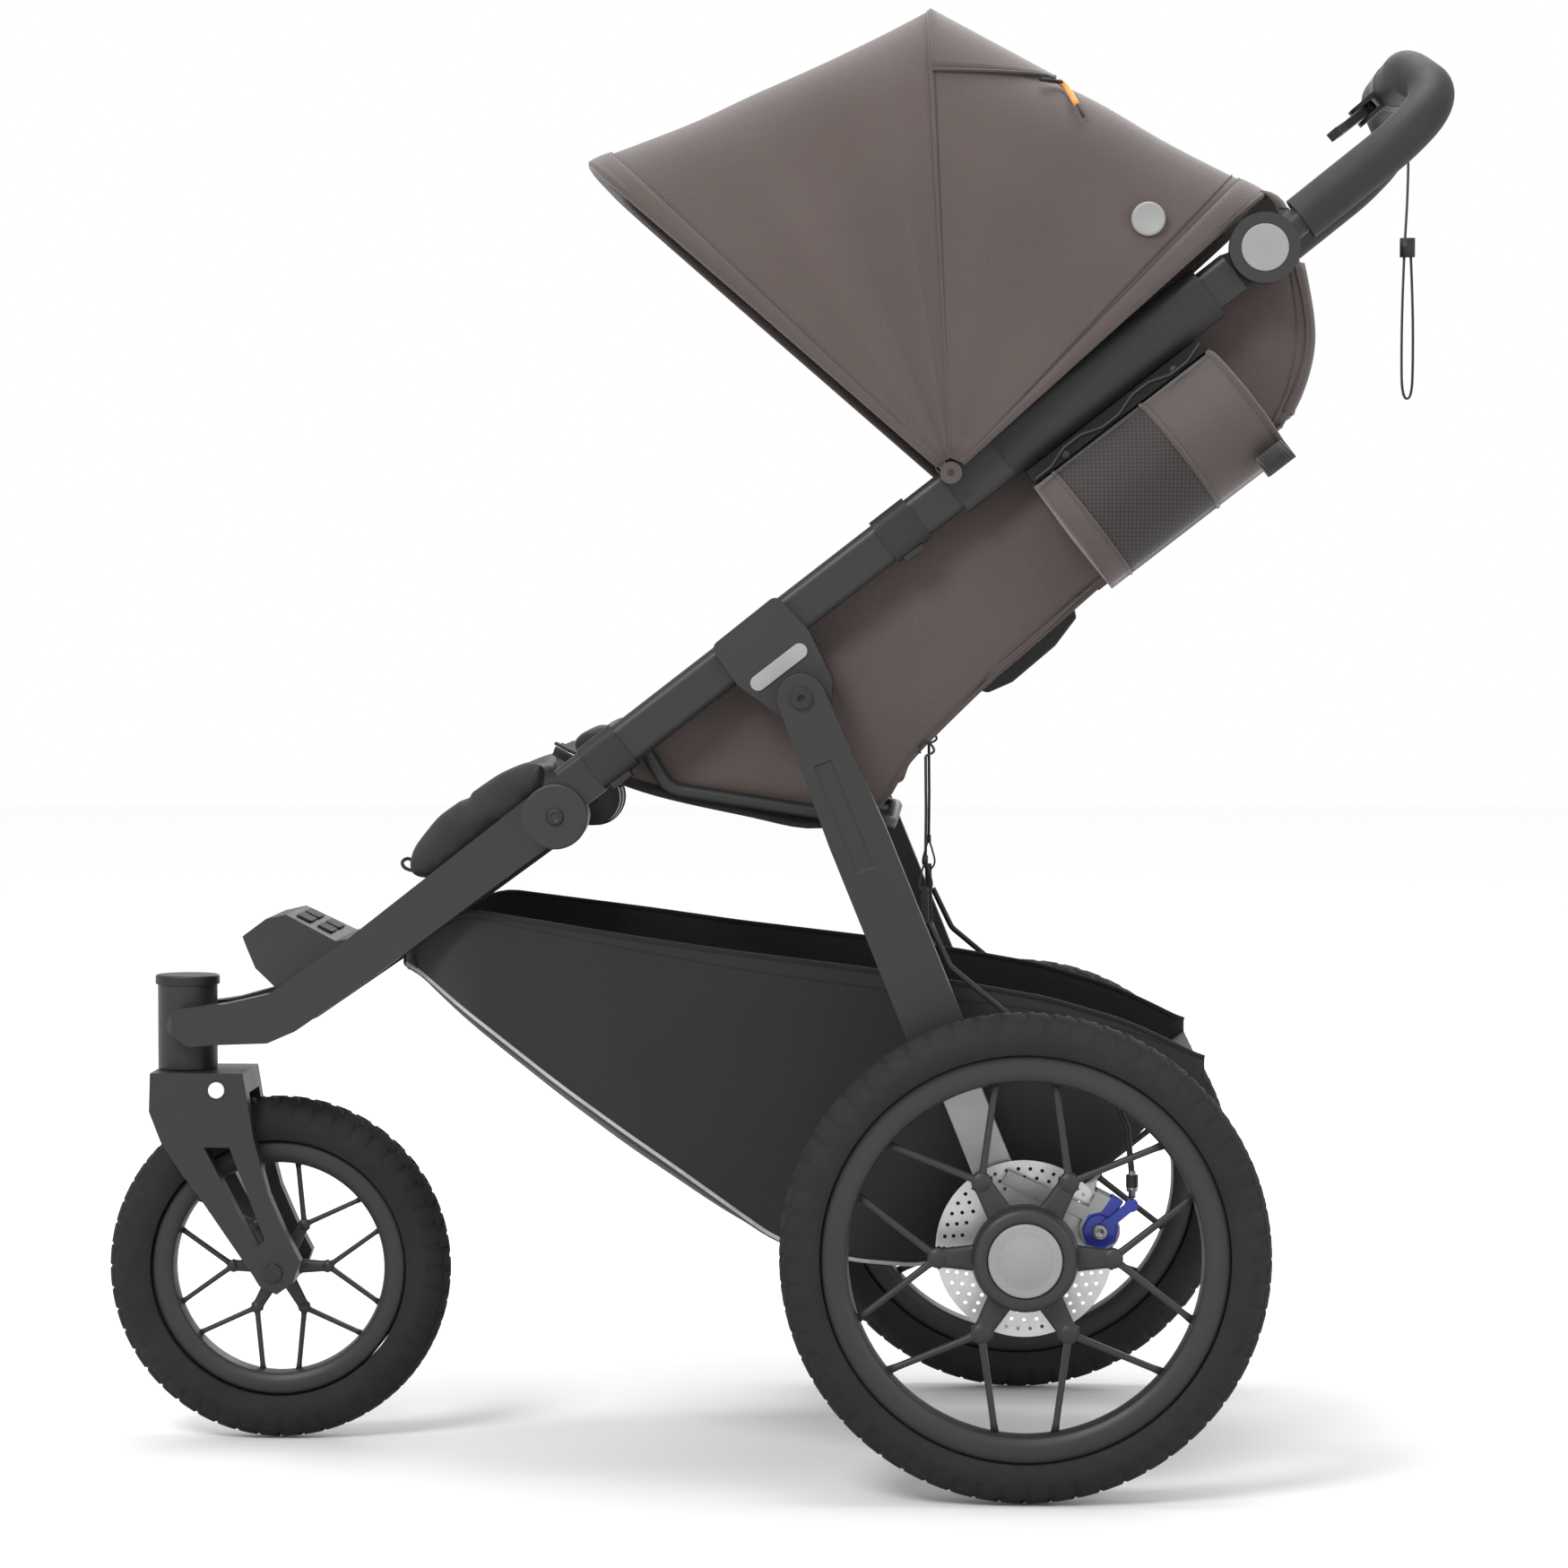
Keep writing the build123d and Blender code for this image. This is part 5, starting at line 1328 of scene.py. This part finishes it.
pouch_out, pouch_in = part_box("side_pouches")[1].y, 0.198
POUCH_START, POUCH_LONG = 87, 181
STEPS = 25


def pouch_ring(along, sign):
    """The pouch's outline at one place along it: flat inside, crowned outside."""
    swell = 0.001 * math.sin(math.pi * (along - POUCH_START) / POUCH_LONG)
    swell -= 0.006 * max(0, (along - 250) / 18) ** 2
    ring = []
    depth = pouch_out - pouch_in
    for k in range(STEPS):
        u = k / (STEPS - 1)
        up = -38.5 - 106 * u
        crown = math.sin(math.pi * u) ** 0.28
        y = pouch_in + (depth * 0.80 + depth * 0.18 * math.sin(math.pi * u) + swell) * crown
        wave = ripple((along * 0.001, up * 0.001, sign), 22, 0.0016)
        ring.append(by_rail(along, up, sign * max(pouch_in + 0.002, y + wave)))
    for k in range(1, STEPS - 1):
        u = 1 - k / (STEPS - 1)
        ring.append(by_rail(along, -38.5 - 106 * u, sign * (pouch_in + 0.002)))
    return ring


def pouch(name, sign):
    """A side pouch: a bound mouth, a net middle and a closed foot."""
    rings = [pouch_ring(POUCH_START + POUCH_LONG * k / 36, sign) for k in range(37)]
    parts = [sheet_piece("wall", rings[first:last + 1], mat, 0.0014, wrap_cols=True)
             for first, last, mat in ((0, 14, taupe), (14, 32, pouch_net), (32, 37, taupe))]
    last = rings[-1]
    middle = sum(last, Vector()) / len(last)
    closing = [last] + [[p.lerp(middle, t) + RAIL * -0.002 * t for p in last] for t in (0.3, 0.6, 0.98)]
    parts.append(lofted("foot_end", closing, taupe, wrap_cols=True))
    for index, radius in ((0, 0.0026), (14, 0.0020), (32, 0.0014)):
        ring = [p + Vector((0, sign * 0.0006, 0)) for p in rings[index]]
        parts.append(pipe("binding", ring, radius, taupe_binding, closed=True))
    top_tape = [by_rail(88 + 180 * k / 30, -37.5, sign * (pouch_in + 0.004)) for k in range(31)]
    parts.append(pipe("top_tape", top_tape, 0.0016, taupe_binding))
    tag = [by_rail(86 + 9 * k, -141, sign * (pouch_out - 0.016)) for k in range(4)]
    parts.append(swept("tag", tag, flat(0.0012, 0.020), webbing, up=(0, 1, 0)))
    return joined(name, parts)


for side_name, sign in SIDES:
    piece = pouch(f"pouch_{side_name}", sign)
    place(piece, "upper_frame", "fabric", *(["side_pouches"] if sign < 0 else []))
    drops = [29, 32, 35, 35, 35, 32, 29, 29]
    wave = [by_rail(90 + 8.75 * k, -drops[k % 8], sign * (pouch_out - 0.030)) for k in range(21)]
    wave = rounded(wave, [0.004] * 19, 90)
    clips = [swept("clip", wave, flat(0.004, 0.003), dark_plastic, up=(0, 1, 0))]
    for along in (120, 232):
        at = by_rail(along, -34, 0)
        profile = [(0.0, 0.004), (0.0035, 0.004), (0.0042, 0.002), (0.0042, 0.0), (0, 0)]
        clips.append(turned_outward("stud", profile, at.x, at.z, pouch_out - 0.034, sign, dark_plastic, 20))
    place(joined(f"pouch_clips_{side_name}", clips), "upper_frame", "knob")

# ---- harness -----------------------------------------------------------------------------------
harness_parts = []
SLEEVE = [(0.021 * math.copysign(abs(c) ** 0.5, c), 0.0042 * s) for c, s in circle(1.0, 20)]
for y in (-52, 52):
    strap = [on_back(385, 36, y), on_back(330, 39, y), on_back(240, 40, y), on_back(120, 40, y),
             on_back(40, 42, y * 0.8)]
    sleeve = [on_back(318, 41, y), on_back(240, 42, y), on_back(155, 41, y)]
    harness_parts.append(swept("strap", curve_through(strap, 40), flat(0.025, 0.0016), webbing, up=(0, 1, 0)))
    harness_parts.append(swept("sleeve", curve_through(sleeve, 24), SLEEVE, pad_cloth, up=(0, 1, 0)))
place(joined("shoulder_straps", harness_parts), "seat_back", "webbing", "shoulder_harness")
LAP = [(-216, 594, 172), (-218, 597, 120), (-226, 604, 70), (-234, 611, 24)]
lap_parts = []
for _, sign in SIDES:
    strap = [P(x, z, sign * y) for x, z, y in LAP]
    lap_parts.append(swept("lap_strap", curve_through(strap, 30), flat(0.0016, 0.025), webbing, up=(0, 0, 1)))
lap_parts.append(turned("buckle", [(0, 0.006), (0.017, 0.006), (0.021, 0.003), (0.022, -0.003), (0, -0.004)],
                        P(-237, 613), dark_plastic, 40, "Z"))
lap_parts.append(turned("buckle_button", [(0, 0.0078), (0.009, 0.0078), (0.010, 0.006), (0.0102, 0.004)],
                        P(-237, 613), cap_grey, 32, "Z"))
crotch = [P(-256, 598, 0), P(-254, 604, 0), P(-246, 609, 0)]
crotch = curve_through(crotch, 12)
lap_parts.append(swept("crotch_strap", crotch, flat(0.034, 0.006), pad_cloth, up=(0, 1, 0)))
place(joined("lap_straps", lap_parts), "upper_frame", "webbing", "lap_harness")

# ---- wrist strap -------------------------------------------------------------------------------
STRAP_ROUTE = [
    (327.0, 1158.6), (327.6, 1118), (326.9, 1076), (324.6, 1036), (322.9, 990), (322.2, 944),
    (322.9, 906), (331.3, 905), (332.2, 944), (331.6, 990), (329.6, 1034),
]
strap_curve = bpy.data.curves.new("wrist_strap_line", "CURVE")
strap_curve.dimensions = "2D"
spline = strap_curve.splines.new("NURBS")
spline.points.add(len(STRAP_ROUTE) - 1)
for point, (x, z) in zip(spline.points, STRAP_ROUTE):
    at = P(x, z)
    point.co = (at.x, at.z, 0, 1)
spline.order_u = 3
spline.use_endpoint_u = True
spline.resolution_u = 12
strap_curve.extrude = 0.0042
strap_curve.bevel_depth = 0.0008
strap_curve.bevel_resolution = 2
strap_curve.materials.append(webbing)
strap = bpy.data.objects.new("wrist_strap_webbing", strap_curve)
bpy.context.scene.collection.objects.link(strap)
strap.rotation_euler = (math.pi / 2, 0, 0)
strap.location = (0, -0.060, 0)
bpy.context.view_layer.update()
place(strap, "wrist_strap", "webbing", "wrist_strap")
CRIMP = [(-1, -0.6), (-0.6, -1), (0.6, -1), (1, -0.6), (1, 0.6), (0.6, 1), (-0.6, 1), (-1, 0.6)]
crimp = swept("strap_crimp", [P(327, 1042, -60), P(327, 1026, -60)],
              [(a * 0.0068, b * 0.0062) for a, b in CRIMP], dark_plastic)
place(crimp, "wrist_strap", "knob")

# ---- a table of the cloth pieces: flat size, area, how held, what each rests on, and extras; the loop only turns them into lists ---
for piece, flat_size, area, held, rests_on, extras in (
    (front_cloth, (1.15, 0.33), 0.233, "stretched", ["canopy_front_bow", "canopy_mid_bow"], [front_trim]),
    (rear_cloth, (1.12, 0.33), 0.234, "stretched", ["canopy_mid_bow"],
     [rear_trim, middle_seam, side_buttons]),
    (flap, (0.50, 0.12), 0.055, "laid", [rear_cloth], [zip_pulls]),
    (wings[0], (0.80, 0.20), 0.097, "stretched", ["main_rail_left"], []),
    (wings[1], (0.80, 0.20), 0.097, "stretched", ["main_rail_right"], []),
    (seat_bottom, (0.385, 0.295), 0.112, "stretched", ["seat_tube"], []),
    (seat_sling, (0.375, 0.475), 0.177, "stretched", wings, []),
    (rear_wall, (0.375, 0.225), 0.082, "stretched", wings, []),
    (wall_cover, (0.370, 0.140), 0.050, "laid", [rear_wall], []),
    (bag, (1.00, 0.72), 0.545, "hung", ["front_rails"], []),
):
    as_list(rests_on)
    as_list(extras)
